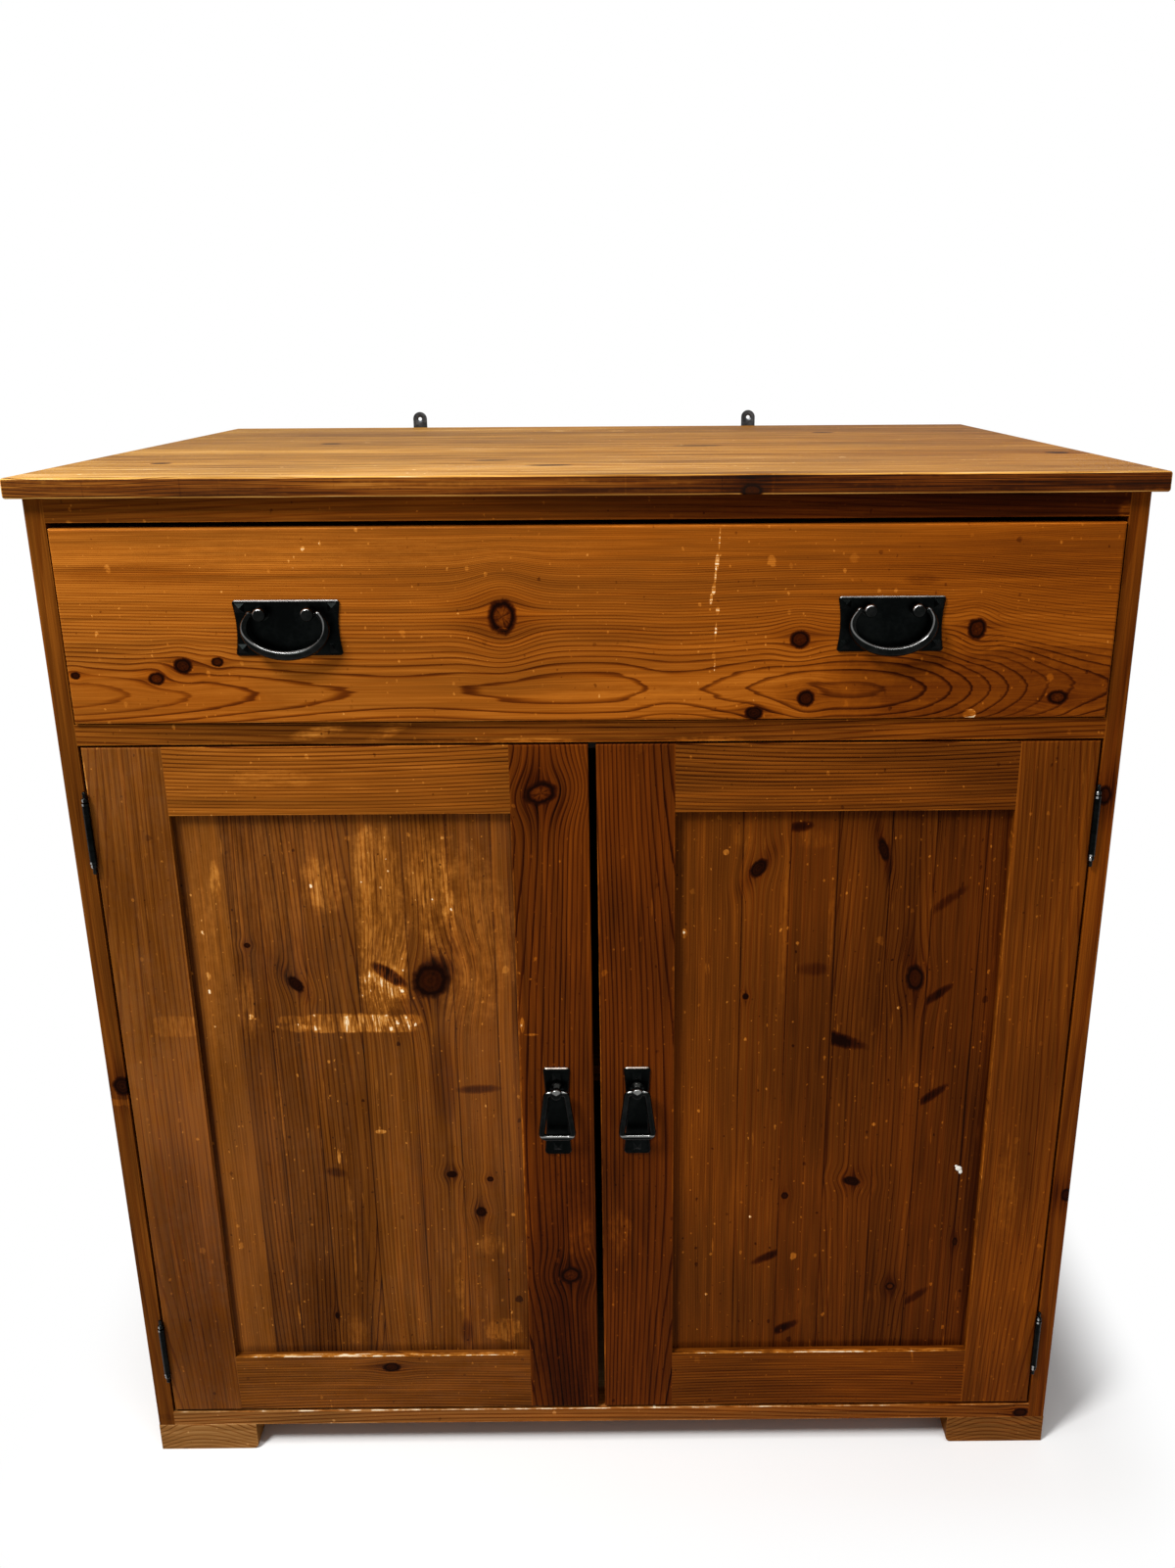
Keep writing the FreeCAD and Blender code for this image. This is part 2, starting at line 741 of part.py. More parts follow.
def bail(name, x, pivot_y, pivot_z):
    """A swelling bail on an ellipse that hangs from two posts, with a knob and a pin at each end."""
    spacing = d.pull_post_spacing.value / 2
    knob = d.bail_knob_radius.value
    end = spacing + d.post_ball_radius.value + d.bail_post_gap.value + knob
    across = d.bail_half_width.value
    turn = math.acos(end / across)
    down = d.bail_drop.value / (1 + math.sin(turn))
    middle = down - d.bail_drop.value
    rings = []
    for index in range(BAIL_STATIONS):
        share = index / (BAIL_STATIONS - 1)
        angle = turn - (math.pi + 2 * turn) * share
        swell = math.sin(math.pi * share)
        radius = d.bail_end_radius.value + (d.bail_belly_radius.value - d.bail_end_radius.value) * swell
        centre = Vector(across * math.cos(angle), 0, middle + down * math.sin(angle))
        heading = math.atan2(-down * math.cos(angle), across * math.sin(angle))
        ring = Part.Circle(Vector(), Vector(1, 0, 0), radius).toShape()
        ring.Placement = Placement(centre, Rotation(Vector(0, 1, 0), -math.degrees(heading)))
        rings.append(Part.Wire(ring))
    shape = Part.makeLoft(rings, True, False)
    inside = spacing - d.post_ball_radius.value / 2
    for sign in (-1, 1):
        start = Vector(sign * end, 0, 0)
        inward = Vector(-sign, 0, 0)
        shape = shape.fuse(Part.makeSphere(knob, start))
        shape = shape.fuse(Part.makeCylinder(d.bail_pin_radius.value, end - inside, start, inward))
    piece = doc.addObject("Part::Feature", name)
    piece.Shape = shape.removeSplitter()
    put(piece, x, pivot_y, pivot_z)
    return piece


def drop_ring(name, x, pivot_y, pivot_z):
    """A trapezoid ring of round bar, made as one half and mirrored, that hangs from its top bar."""
    body = doc.addObject("PartDesign::Body", name)
    planes = {item.Role: item for item in body.Origin.OriginFeatures}
    section = body.newObject("Sketcher::SketchObject", f"{name}_section")
    section.AttachmentSupport = (planes["YZ_Plane"], [""])
    section.MapMode = "FlatFace"
    section.addGeometry(Part.Circle(Vector(), Vector(0, 0, 1), d.drop_bar_radius.value), False)
    section.addConstraint(Sketcher.Constraint("Coincident", 0, 3, -1, 1))
    section.addConstraint(Sketcher.Constraint("Radius", 0, d.drop_bar_radius.value))
    section.setExpression("Constraints[1]", d.drop_bar_radius.text)
    top = d.drop_top_half_width
    foot_half = d.drop_bottom_half_width
    splay = foot_half - top
    arm = (splay * splay + d.drop_length * d.drop_length).root()
    top_bend = d.drop_top_bend_radius * ((arm - splay) / (arm + splay)).root()
    foot_bend = d.drop_bottom_bend_radius * ((arm + splay) / (arm - splay)).root()
    route = [
        (0, 0),
        (top - top_bend, 0, -d.drop_top_bend_radius),
        (top + top_bend * splay / arm, -(top_bend * d.drop_length / arm)),
        (foot_half - foot_bend * splay / arm, foot_bend * d.drop_length / arm - d.drop_length,
         -d.drop_bottom_bend_radius),
        (foot_half - foot_bend, -d.drop_length),
        (0, -d.drop_length),
    ]
    path = add_sketch(body, f"{name}_path", "XZ_Plane", route, closed=False)
    doc.recompute()
    pipe = body.newObject("PartDesign::AdditivePipe", f"{name}_pipe")
    pipe.Profile = section
    pipe.Spine = (path, [f"Edge{number}" for number in range(1, len(route))])
    doc.recompute()
    whole = body.newObject("PartDesign::Mirrored", f"{name}_whole")
    whole.Originals = [pipe]
    whole.MirrorPlane = (planes["YZ_Plane"], [""])
    body.Tip = whole
    put(body, x, pivot_y, pivot_z)
    return body


def make_case():
    """Build the fixed pieces, and return the door leaves and door screws of the left-hand hinges."""
    left_lug, left_lug_screw = wall_lug("left_lug", d.left_lug_place)
    right_lug, right_lug_screw = wall_lug("right_lug", d.right_lug_place)
    node(cut("top_board_drilled", top_board(), [left_lug_screw, right_lug_screw]), "top_board")
    node(left_lug, "left_wall_lug")
    node(right_lug, "right_wall_lug")
    tongues = []
    depth = back_inside - front
    rows = [
        between_sides("bottom_board", front, case_bottom, depth, d.bottom_thickness,
                      front + d.tenon_setback, back_inside),
        rail("top_rail", front, drawer_ceiling, d.top_rail_height),
        rail("middle_rail", front, door_ceiling, d.middle_rail_height),
        rail("rear_rail", back_inside - d.rail_depth, drawer_ceiling, d.top_rail_height),
    ]
    for _, tongue in rows:
        tongues.append(tongue)
    node(back_boards(), "back_boards")
    bearer_start = front + d.rail_depth
    pair("SIDE_drawer_runner", box("drawer_runner", -inner, bearer_start, door_ceiling, d.runner_width,
                                   back_inside - bearer_start, d.middle_rail_height))
    pair("SIDE_drawer_kicker", box("drawer_kicker", -inner, bearer_start, drawer_ceiling, d.runner_width,
                                   back_inside - d.rail_depth - bearer_start, d.top_rail_height))
    shelf_start = front + d.shelf_setback
    shelf_half = inner - d.shelf_play
    node(box("shelf_board", -shelf_half, shelf_start, d.shelf_height, shelf_half * 2,
             back_inside - shelf_start, d.shelf_thickness), "shelf")
    cleat_start = shelf_start + d.cleat_setback
    pair("SIDE_shelf_cleat", box("shelf_cleat", -inner, cleat_start, d.shelf_height - d.cleat_size,
                                 d.cleat_size, back_inside - cleat_start, d.cleat_size))
    pair("front_SIDE_foot", foot("front_foot", front))
    pair("rear_SIDE_foot", foot("rear_foot", back - d.foot_depth))
    catch = pad("catch_case", "XY_Plane", rectangle(d.catch_width, d.catch_depth), d.catch_height)
    put(catch, -d.catch_width / 2, door_back + d.strike_thickness + d.catch_clearance,
        door_ceiling - d.catch_height)
    node(ease(catch, d.catch_edge_radius, lambda middle: middle.z < d.catch_edge_radius.value), "door_catch")
    hinges = [hinge(f"hinge_{index}", centre) for index, centre in enumerate(hinge_centres)]
    leaves = [item[0] for item in hinges]
    pins = [item[2] for item in hinges]
    screws = [screw for item in hinges for screw in item[3]]
    node(group("frame_leaf_set", leaves + [mirror(f"right_{leaf.Name}", leaf) for leaf in leaves]),
         "hinge_frame_leaves")
    node(group("pin_set", pins + [mirror(f"right_{pin.Name}", pin) for pin in pins]), "hinge_pins")
    node(group("case_screw_set", screws + [mirror(f"right_{screw.Name}", screw) for screw in screws]
               + [left_lug_screw, right_lug_screw]), "carcass_screws")
    board = eased_board("side_board", (-half_width, front, case_bottom),
                        (d.side_thickness, d.carcass_depth, d.carcass_height), d.side_edge_radius,
                        lambda middle: middle.x < d.side_edge_radius.value)
    rebate = inner + d.back_rebate
    recess = box("back_recess", -rebate, back_inside, case_bottom - d.cut_overrun, rebate * 2,
                 d.back_thickness + d.cut_overrun, d.carcass_height + d.cut_overrun * 2)
    pair("SIDE_side", cut("side_seated", board, [recess] + tongues + screws))
    return [item[1] for item in hinges], [screw for item in hinges for screw in item[4]]


def make_doors(leaves, leaf_screws):
    """Build the left door with its drop handle, and the right door as its image."""
    opening_left = d.stile_width - door_outer
    opening_right = -(door_inner + d.stile_width)
    opening_width = opening_right - opening_left
    groove_y = front + d.panel_recess
    groove = d.panel_groove_depth
    panel_bottom = door_bottom + d.door_bottom_rail_width - groove
    panel_top = door_top - d.door_top_rail_width + groove
    seat = box("panel_seat", opening_left - groove, groove_y, panel_bottom, opening_width + groove * 2,
               d.panel_thickness, panel_top - panel_bottom)
    play = d.panel_play
    panel = box("panel_board", opening_left - groove + play, groove_y, panel_bottom + play,
                opening_width + groove * 2 - play * 2, d.panel_thickness, panel_top - panel_bottom - play * 2)
    blanks = []
    easing = d.door_edge_radius.value
    top_arris = d.door_top_rail_width.value - easing
    rail_rows = (
        ("bottom", door_bottom, d.door_bottom_rail_width, lambda middle: middle.z < easing),
        ("top", door_top - d.door_top_rail_width, d.door_top_rail_width, lambda middle: middle.z > top_arris),
    )
    for name, base, width, outer_edge in rail_rows:
        board = eased_board(f"door_{name}_rail_board", (opening_left, front, base),
                            (opening_width, d.door_thickness, width), d.door_edge_radius, outer_edge)
        tongue = box(f"door_{name}_rail_tongue", opening_left - groove, groove_y, base,
                     opening_width + groove * 2, d.panel_thickness, width)
        blank = join(f"door_{name}_rail_blank", [board, tongue])
        blanks.append(blank)
        pair(f"SIDE_door_{name}_rail", cut(f"door_{name}_rail", blank, [seat]))
    pair("SIDE_door_panel", panel)

    handle_x = -(door_inner + d.stile_width / 2)
    plate_z = door_bottom + d.drop_plate_height_above_door
    face = front - d.plate_thickness
    plate = backplate("drop_plate_blank", handle_x, front, plate_z, d.drop_plate_width, d.drop_plate_height,
                      d.drop_corner_radius, d.drop_side_hollow)
    stud_rise = d.drop_plate_height / 2 - d.drop_stud_inset
    studs = [
        stud("drop_upper_stud", handle_x, face, plate_z + stud_rise),
        stud("drop_lower_stud", handle_x, face, plate_z - stud_rise),
    ]
    pivot_z = plate_z + d.drop_post_rise
    drilled, bore, nut = post("drop_post", handle_x, face, pivot_z, d.drop_bar_radius + d.drop_bar_clearance,
                              d.door_thickness)
    fixings = studs + [bore]
    pair("SIDE_drop_plate", cut("drop_plate_drilled", plate, fixings))
    pair("SIDE_drop_post", drilled)
    pair("SIDE_drop", drop_ring("drop_body", handle_x, face - d.post_reach, pivot_z))

    stile = (d.stile_width, d.door_thickness, door_height)
    inner_arris = d.stile_width.value - easing
    hinge_board = eased_board("hinge_stile_board", (-door_outer, front, door_bottom), stile,
                              d.door_edge_radius, lambda middle: middle.x < inner_arris)
    lock_board = eased_board("lock_stile_board", (opening_right, front, door_bottom), stile,
                             d.door_edge_radius, lambda middle: middle.x > easing)
    pair("SIDE_door_hinge_stile", cut("hinge_stile_seated", hinge_board, [seat] + blanks + leaf_screws))
    pair("SIDE_door_lock_stile", cut("lock_stile_seated", lock_board, [seat] + blanks + fixings))
    pair("SIDE_hinge_door_leaves", group("door_leaf_set", leaves))
    strike_x = -(door_inner + d.strike_edge_gap + d.strike_width)
    pair("SIDE_catch_strike", box("catch_strike", strike_x, door_back,
                                  door_top - d.strike_edge_gap - d.strike_height, d.strike_width,
                                  d.strike_thickness, d.strike_height))
    pair("SIDE_door_fasteners", group("door_fastener_set", leaf_screws + studs + [nut]))


def make_drawer():
    """Build the drawer, its bail pulls and its dovetailed corners."""
    face = front - d.drawer_proud
    inside = face + d.drawer_front_thickness
    half = inner - d.drawer_side_gap
    bottom = runner_level + d.drawer_gap_below
    height = drawer_ceiling - d.drawer_gap_above - bottom
    side_bottom = runner_level + d.drawer_slide_clearance
    rear = back_inside - d.drawer_end_clearance

    tail = d.drawer_front_thickness - d.drawer_lap
    length = rear - face - d.drawer_lap
    outline = [(tail, 0), (length, 0), (length, d.drawer_side_height), (tail, d.drawer_side_height)]
    pitch = d.drawer_side_height / TAIL_COUNT
    for index in reversed(range(TAIL_COUNT)):
        centre = pitch * index + pitch / 2
        outline += [
            (tail, centre + d.tail_root_width / 2),
            (0, centre + d.tail_tip_width / 2),
            (0, centre - d.tail_tip_width / 2),
            (tail, centre - d.tail_root_width / 2),
        ]
    side = pad("drawer_side_board", "YZ_Plane", outline, d.drawer_side_thickness)
    put(side, -half, face + d.drawer_lap, side_bottom)

    inner_half = half - d.drawer_side_thickness
    panel_half = inner_half + d.drawer_groove_depth
    panel_start = inside - d.drawer_groove_depth
    panel_z = side_bottom + d.drawer_bottom_height
    panel = box("drawer_bottom_board", -panel_half, panel_start, panel_z, panel_half * 2,
                rear - d.drawer_back_inset - panel_start, d.drawer_bottom_thickness)
    back_half = inner_half + d.drawer_housing
    back_z = panel_z + d.drawer_bottom_thickness
    back_height = side_bottom + d.drawer_side_height - d.drawer_back_drop - back_z
    back_y = rear - d.drawer_back_inset - d.drawer_side_thickness
    rear_board = box("drawer_back_board", -back_half, back_y, back_z, back_half * 2, d.drawer_side_thickness,
                     back_height)

    plate_face = face - d.plate_thickness
    plate_z = bottom + height / 2
    pivot_z = plate_z + d.pull_post_rise
    plate = backplate("pull_plate_blank", -d.pull_place, face, plate_z, d.pull_plate_width,
                      d.pull_plate_height, d.pull_corner_radius, d.pull_side_hollow)
    studs = []
    posts = []
    bores = []
    nuts = []
    for across in (-1, 1):
        stud_x = (d.pull_plate_width / 2 - d.pull_stud_inset) * across - d.pull_place
        for up in (-1, 1):
            stud_z = plate_z + (d.pull_plate_height / 2 - d.pull_stud_inset) * up
            studs.append(stud(f"pull_stud_{len(studs)}", stud_x, plate_face, stud_z))
        post_x = d.pull_post_spacing / 2 * across - d.pull_place
        drilled, bore, nut = post(f"pull_post_{len(posts)}", post_x, plate_face, pivot_z,
                                  d.bail_pin_radius + d.bail_pin_clearance, d.drawer_front_thickness)
        posts.append(drilled)
        bores.append(bore)
        nuts.append(nut)
    fixings = studs + bores
    pair("SIDE_bail_plate", cut("pull_plate_drilled", plate, fixings))
    pair("SIDE_bail_posts", group("pull_post_set", posts))
    pair("SIDE_bail", bail("bail_body", -d.pull_place, plate_face - d.post_reach, pivot_z))
    fasteners = studs + nuts
    node(group("drawer_fastener_set", fasteners + [mirror(f"right_{item.Name}", item) for item in fasteners]),
         "drawer_fasteners")

    board = eased_board("drawer_front_board", (-half, face, bottom),
                        (half * 2, d.drawer_front_thickness, height), d.drawer_edge_radius,
                        lambda middle: True)
    seats = [side, mirror("right_drawer_side_board", side), panel] + fixings
    seats += [mirror(f"right_{item.Name}", item) for item in fixings]
    node(cut("drawer_front_seated", board, seats), "drawer_front")
    pair("drawer_SIDE_side", cut("drawer_side_seated", side, [panel, rear_board]))
    node(rear_board, "drawer_back")
    node(panel, "drawer_bottom")


def check_all():
    """Stop if an object failed, or if a piece has no sound solid."""
    doc.recompute()
    failed = [item.Label for item in doc.Objects if "Invalid" in item.State or "Error" in item.State]
    if failed:
        raise RuntimeError(f"failed objects: {failed}")
    for piece in nodes:
        shape = piece.Shape
        if shape.isNull() or not shape.isValid() or not shape.Solids:
            raise RuntimeError(f"{piece.Label} has no sound solid")


def write_all():
    """Write one STEP file for each piece."""
    os.makedirs("parts", exist_ok=True)
    for piece in nodes:
        piece.Shape.exportStep(f"parts/{piece.Label}.step")


door_leaves, door_leaf_screws = make_case()
make_doors(door_leaves, door_leaf_screws)
make_drawer()
check_all()
write_all()
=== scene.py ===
"""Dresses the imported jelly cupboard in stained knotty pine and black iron, and sets its camera and light."""

import logging
import math
import random
from dataclasses import dataclass, field, replace
from enum import Enum
from typing import Any, Optional, Union

import bmesh
import bpy
from mathutils import Matrix, Vector


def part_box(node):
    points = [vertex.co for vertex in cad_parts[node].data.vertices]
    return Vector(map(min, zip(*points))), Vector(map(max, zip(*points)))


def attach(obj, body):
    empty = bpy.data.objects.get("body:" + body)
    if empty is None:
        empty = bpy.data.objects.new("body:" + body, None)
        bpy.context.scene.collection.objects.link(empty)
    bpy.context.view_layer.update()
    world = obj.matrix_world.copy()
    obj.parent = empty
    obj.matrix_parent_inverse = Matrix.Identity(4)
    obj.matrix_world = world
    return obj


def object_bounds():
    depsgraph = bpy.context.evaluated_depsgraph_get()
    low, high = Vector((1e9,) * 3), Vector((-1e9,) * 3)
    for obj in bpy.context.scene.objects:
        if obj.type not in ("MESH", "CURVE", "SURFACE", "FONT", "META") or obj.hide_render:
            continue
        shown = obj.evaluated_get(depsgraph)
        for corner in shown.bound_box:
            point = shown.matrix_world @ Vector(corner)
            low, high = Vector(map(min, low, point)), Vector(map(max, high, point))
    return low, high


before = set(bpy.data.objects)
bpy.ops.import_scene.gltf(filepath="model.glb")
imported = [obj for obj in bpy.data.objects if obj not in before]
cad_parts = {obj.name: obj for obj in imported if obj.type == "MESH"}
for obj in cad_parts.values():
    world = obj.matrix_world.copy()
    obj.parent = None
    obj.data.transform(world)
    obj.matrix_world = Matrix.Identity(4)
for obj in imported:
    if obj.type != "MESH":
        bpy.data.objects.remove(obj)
CAD_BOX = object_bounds()
LOG = logging.getLogger("cupboard")

Colour = tuple[float, float, float]
Stop = tuple[float, Colour]
Key = Union[int, str]
Two = tuple[float, float]
Three = tuple[float, float, float]
Four = tuple[float, float, float, float]

WHITE: Four = (1.0, 1.0, 1.0, 1.0)

# The half size of a mark that goes right through any board.
ALL_THROUGH = 100.0


class Shade:
    """One output of a shader node. Arithmetic on it adds Math nodes to the same tree."""

    def __init__(self, recipe: "Recipe", socket: bpy.types.NodeSocket) -> None:
        """Holds the socket and the recipe that its tree belongs to."""
        self.recipe = recipe
        self.socket = socket

    def twin(self, name: Key) -> "Shade":
        """Returns another output of the same node."""
        return Shade(self.recipe, self.socket.node.outputs[name])

    def __add__(self, other: "Value") -> "Shade":
        """Returns self + other."""
        return self.recipe.math("ADD", self, other)

    __radd__ = __add__

    def __sub__(self, other: "Value") -> "Shade":
        """Returns self - other."""
        return self.recipe.math("SUBTRACT", self, other)

    def __rsub__(self, other: "Value") -> "Shade":
        """Returns other - self."""
        return self.recipe.math("SUBTRACT", other, self)

    def __mul__(self, other: "Value") -> "Shade":
        """Returns self times other."""
        return self.recipe.math("MULTIPLY", self, other)

    __rmul__ = __mul__

    def __truediv__(self, other: "Value") -> "Shade":
        """Returns self over other."""
        return self.recipe.math("DIVIDE", self, other)

    def __rtruediv__(self, other: "Value") -> "Shade":
        """Returns other over self."""
        return self.recipe.math("DIVIDE", other, self)

    def __pow__(self, other: "Value") -> "Shade":
        """Returns self to the power of other."""
        return self.recipe.math("POWER", self, other)

    def __rpow__(self, other: "Value") -> "Shade":
        """Returns other to the power of self."""
        return self.recipe.math("POWER", other, self)


Value = Union[Shade, float]


class Recipe:
    """A shader tree that is written as expressions."""

    def __init__(self, owner: Union[bpy.types.Material, bpy.types.World]) -> None:
        """Empties the owner's tree.

        Args:
            owner: the material or world whose tree is written.
        """
        owner.use_nodes = True
        self.owner = owner
        self.tree = owner.node_tree
        self.tree.nodes.clear()

    def node(
        self,
        kind: str,
        settings: Optional[dict[str, Any]] = None,
        sockets: Optional[dict[Key, Any]] = None,
        out: Key = 0,
    ) -> Optional[Shade]:
        """Adds one node.

        Args:
            kind: the node's type, without the ShaderNode in front.
            settings: properties that are set first; stops or flats fill a ramp, and points a curve.
            sockets: values or links of the inputs.
            out: the output that is wanted.

        Returns:
            That output, or None where the node has none.
        """
        made = self.tree.nodes.new("ShaderNode" + kind)
        for name, value in (settings or {}).items():
            if name in ("stops", "flats"):
                self._fill_ramp(made.color_ramp, value)
                made.color_ramp.interpolation = "LINEAR" if name == "stops" else "CONSTANT"
            elif name == "points":
                self._fill_curve(made.mapping, value)
            else:
                setattr(made, name, value)
        for key, value in (sockets or {}).items():
            if isinstance(value, Shade):
                self.tree.links.new(value.socket, made.inputs[key])
            else:
                made.inputs[key].default_value = value
        return Shade(self, made.outputs[out]) if len(made.outputs) else None

    @staticmethod
    def _fill_ramp(ramp: bpy.types.ColorRamp, stops: tuple[Stop, ...]) -> None:
        """Sets a ramp's stops.

        Args:
            ramp: the ramp, which starts with two stops.
            stops: places and colours, in order.
        """
        while len(ramp.elements) < len(stops):
            ramp.elements.new(1.0)
        for element, (where, colour) in zip(ramp.elements, stops):
            element.position = where
            element.color = (*colour, 1.0)

    @staticmethod
    def _fill_curve(mapping: bpy.types.CurveMapping, points: tuple[Two, ...]) -> None:
        """Sets a curve's points.

        Args:
            mapping: the curve, which starts with two points.
            points: places and heights, in order.
        """
        curve = mapping.curves[0]
        while len(curve.points) < len(points):
            curve.points.new(1.0, 1.0)
        for point, where in zip(curve.points, points):
            point.location = where
        mapping.update()

    def math(self, operation: str, *values: Value) -> Shade:
        """Returns the result of a Math node."""
        return self.node("Math", {"operation": operation}, dict(enumerate(values)))

    def vector(self, operation: str, *values: Any, out: Key = 0) -> Shade:
        """Returns a result of a Vector Math node."""
        return self.node("VectorMath", {"operation": operation}, dict(enumerate(values)), out)

    def combine(self, *parts: Value) -> Shade:
        """Returns a vector made of up to three numbers."""
        return self.node("CombineXYZ", sockets=dict(enumerate(parts)))

    def blend(self, share: Value, first: Any, second: Any) -> Shade:
        """Returns a colour between the first, at share 0, and the second."""
        return self.node("Mix", {"data_type": "RGBA"}, {0: share, 6: first, 7: second}, 2)

    def step(self, value: Value, start: Value, end: Value) -> Shade:
        """Returns a smooth step of value from 0 at start to 1 at end."""
        settings = {"interpolation_type": "SMOOTHSTEP"}
        return self.node("MapRange", settings, {0: value, 1: start, 2: end})

    def noise(self, place: Shade, detail: float = 2.0, rough: float = 0.5) -> Shade:
        """Returns noise of about 0 to 1, with features one unit of place across."""
        sockets = {"Vector": place, "Scale": 1.0, "Detail": detail, "Roughness": rough}
        return self.node("TexNoise", sockets=sockets)

    @staticmethod
    def centred(noise: Shade) -> Shade:
        """Returns noise of 0 to 1 moved to lie about 0."""
        return noise - 0.5

    @staticmethod
    def raised(value: Shade, least: float) -> Shade:
        """Returns a value of 0 to 1 drawn in to run from least to 1."""
        return value * (1.0 - least) + least

    @staticmethod
    def mingle(first: Shade, second: Shade, share: float = 0.5) -> Shade:
        """Returns the first number with a share of it given over to the second."""
        return first * (1.0 - share) + second * share

    def finish(self, shader: Shade, surface: str = "OutputMaterial") -> None:
        """Links the shader to the tree's output."""
        self.node(surface, sockets={0: shader})


class Face(Enum):
    """The face of a board that its marks are placed on: the axes that run right, up and through it."""

    FRONT = ("X", "Z", "Y")
    SIDE = ("Y", "Z", "X")
    TOP = ("X", "Y", "Z")


class Run(Enum):
    """The way that the grain runs on that face."""

    RIGHT = 0
    UP = 1


class Hand(Enum):
    """The side of the cupboard that a piece is on, as the sign of its x."""

    LEFT = -1
    RIGHT = 1


class Stile(Enum):
    """An upright of a door's frame, and how dark its growth rings are."""

    HINGE = 0.14
    LOCK = 0.30


class Rail(Enum):
    """A crosspiece of a door's frame.

    Its value is the height of its heart, how dark its growth rings are and how pale its arrises are worn.
    """

    TOP = (0.90, 0.52, 0.14)
    BOTTOM = (-0.03, 0.42, 0.30)


@dataclass(frozen=True)
class Knot:
    """A knot: its middle on the face, its half sizes and turn in degrees, and how light its heart is.

    through and deep are its middle and half size through the board.
    """

    right: float
    up: float
    wide: float = 0.007
    high: float = 0.006
    turn: float = 0.0
    heart: float = 0.10
    through: float = 0.0
    deep: float = ALL_THROUGH


@dataclass(frozen=True)
class Patch:
    """A worn or dirty place, or a patch of painted shade or painted highlight: its middle on the face, half
    sizes, turn, and how much paler it makes the wood.

    ragged is how far its outline strays, soft how wide the outline is, and square how many times its oval is
    squared up. through and deep are as a knot's. kept is the stretch to the right and left that it stays
    within, as where a glue line cuts a branch short.
    """

    right: float
    up: float
    wide: float
    high: float
    gain: float
    turn: float = 0.0
    ragged: float = 1.0
    soft: float = 1.0
    square: int = 0
    through: float = 0.0
    deep: float = ALL_THROUGH
    kept: Optional[Two] = None


@dataclass(frozen=True)
class Bare:
    """The unstained face of a board: the axis across it, and where on that axis it is stained and bare.

    front is where it begins behind the board's front, and fade how wide that border is.
    """

    axis: str
    stained: float
    bare: float
    front: float = -0.325
    fade: float = 0.012


@dataclass(frozen=True)
class PineFinish:
    """A finish of pine: its colours from dark to pale in a yellow and a red cast, and its gloss."""

    name: str
    yellow: tuple[Stop, ...]
    red: tuple[Stop, ...]
    rough: float
    specular: float


@dataclass(frozen=True)
class IronFinish:
    """A metal finish: its base and worn colours, its gloss, and how coarse its mottling and its bump are."""

    name: str
    base: Colour
    worn: Colour
    rough: float
    grain: float
    bump: float
    metallic: float = 1.0
    specular: float = 0.1


STAINED = PineFinish(
    "stained_pine",
    yellow=(
        (0.0, (0.006, 0.0014, 0.0005)),
        (0.2, (0.034, 0.0078, 0.0009)),
        (0.4, (0.105, 0.0295, 0.0026)),
        (0.6, (0.225, 0.0710, 0.0072)),
        (0.8, (0.43, 0.160, 0.022)),
        (0.92, (0.62, 0.31, 0.085)),
        (1.0, (0.86, 0.72, 0.50)),
    ),
    red=(
        (0.0, (0.006, 0.0012, 0.0004)),
        (0.2, (0.036, 0.0058, 0.0006)),
        (0.4, (0.110, 0.0220, 0.0015)),
        (0.6, (0.250, 0.0600, 0.0030)),
        (0.8, (0.44, 0.130, 0.011)),
        (0.92, (0.63, 0.28, 0.060)),
        (1.0, (0.86, 0.70, 0.46)),
    ),
    rough=0.42,
    specular=0.012,
)
SCUFFED = replace(
    STAINED,
    name="scuffed_pine",
    yellow=(
        (0.0, (0.006, 0.002, 0.0008)),
        (0.2, (0.034, 0.010, 0.002)),
        (0.4, (0.100, 0.037, 0.007)),
        (0.6, (0.230, 0.098, 0.024)),
        (0.8, (0.41, 0.215, 0.075)),
        (1.0, (0.84, 0.70, 0.48)),
    ),
)
RUBBED = PineFinish(
    "rubbed_pine",
    yellow=(
        (0.0, (0.008, 0.003, 0.0015)),
        (0.2, (0.036, 0.0105, 0.002)),
        (0.4, (0.112, 0.038, 0.005)),
        (0.6, (0.255, 0.106, 0.015)),
        (0.8, (0.50, 0.257, 0.055)),
        (0.92, (0.68, 0.375, 0.092)),
        (1.0, (0.86, 0.66, 0.40)),
    ),
    red=(
        (0.0, (0.008, 0.003, 0.0015)),
        (0.2, (0.036, 0.0072, 0.0008)),
        (0.4, (0.116, 0.0262, 0.0022)),
        (0.6, (0.265, 0.086, 0.009)),
        (0.8, (0.51, 0.224, 0.042)),
        (0.92, (0.68, 0.348, 0.084)),
        (1.0, (0.86, 0.64, 0.38)),
    ),
    rough=0.60,
    specular=0.035,
)
RAW = PineFinish(
    "bare_pine",
    yellow=(
        (0.0, (0.030, 0.014, 0.006)),
        (0.2, (0.110, 0.050, 0.020)),
        (0.4, (0.27, 0.135, 0.052)),
        (0.6, (0.47, 0.270, 0.105)),
        (0.8, (0.62, 0.400, 0.180)),
        (1.0, (0.78, 0.60, 0.36)),
    ),
    red=(
        (0.0, (0.034, 0.013, 0.006)),
        (0.2, (0.125, 0.046, 0.018)),
        (0.4, (0.29, 0.120, 0.046)),
        (0.6, (0.48, 0.240, 0.095)),
        (0.8, (0.62, 0.370, 0.165)),
        (1.0, (0.78, 0.58, 0.34)),
    ),
    rough=0.62,
    specular=0.20,
)
BLACK_IRON = IronFinish("black_iron", (0.0022, 0.0027, 0.0026), (0.0046, 0.0054, 0.0052), 0.34, 240.0, 0.12)
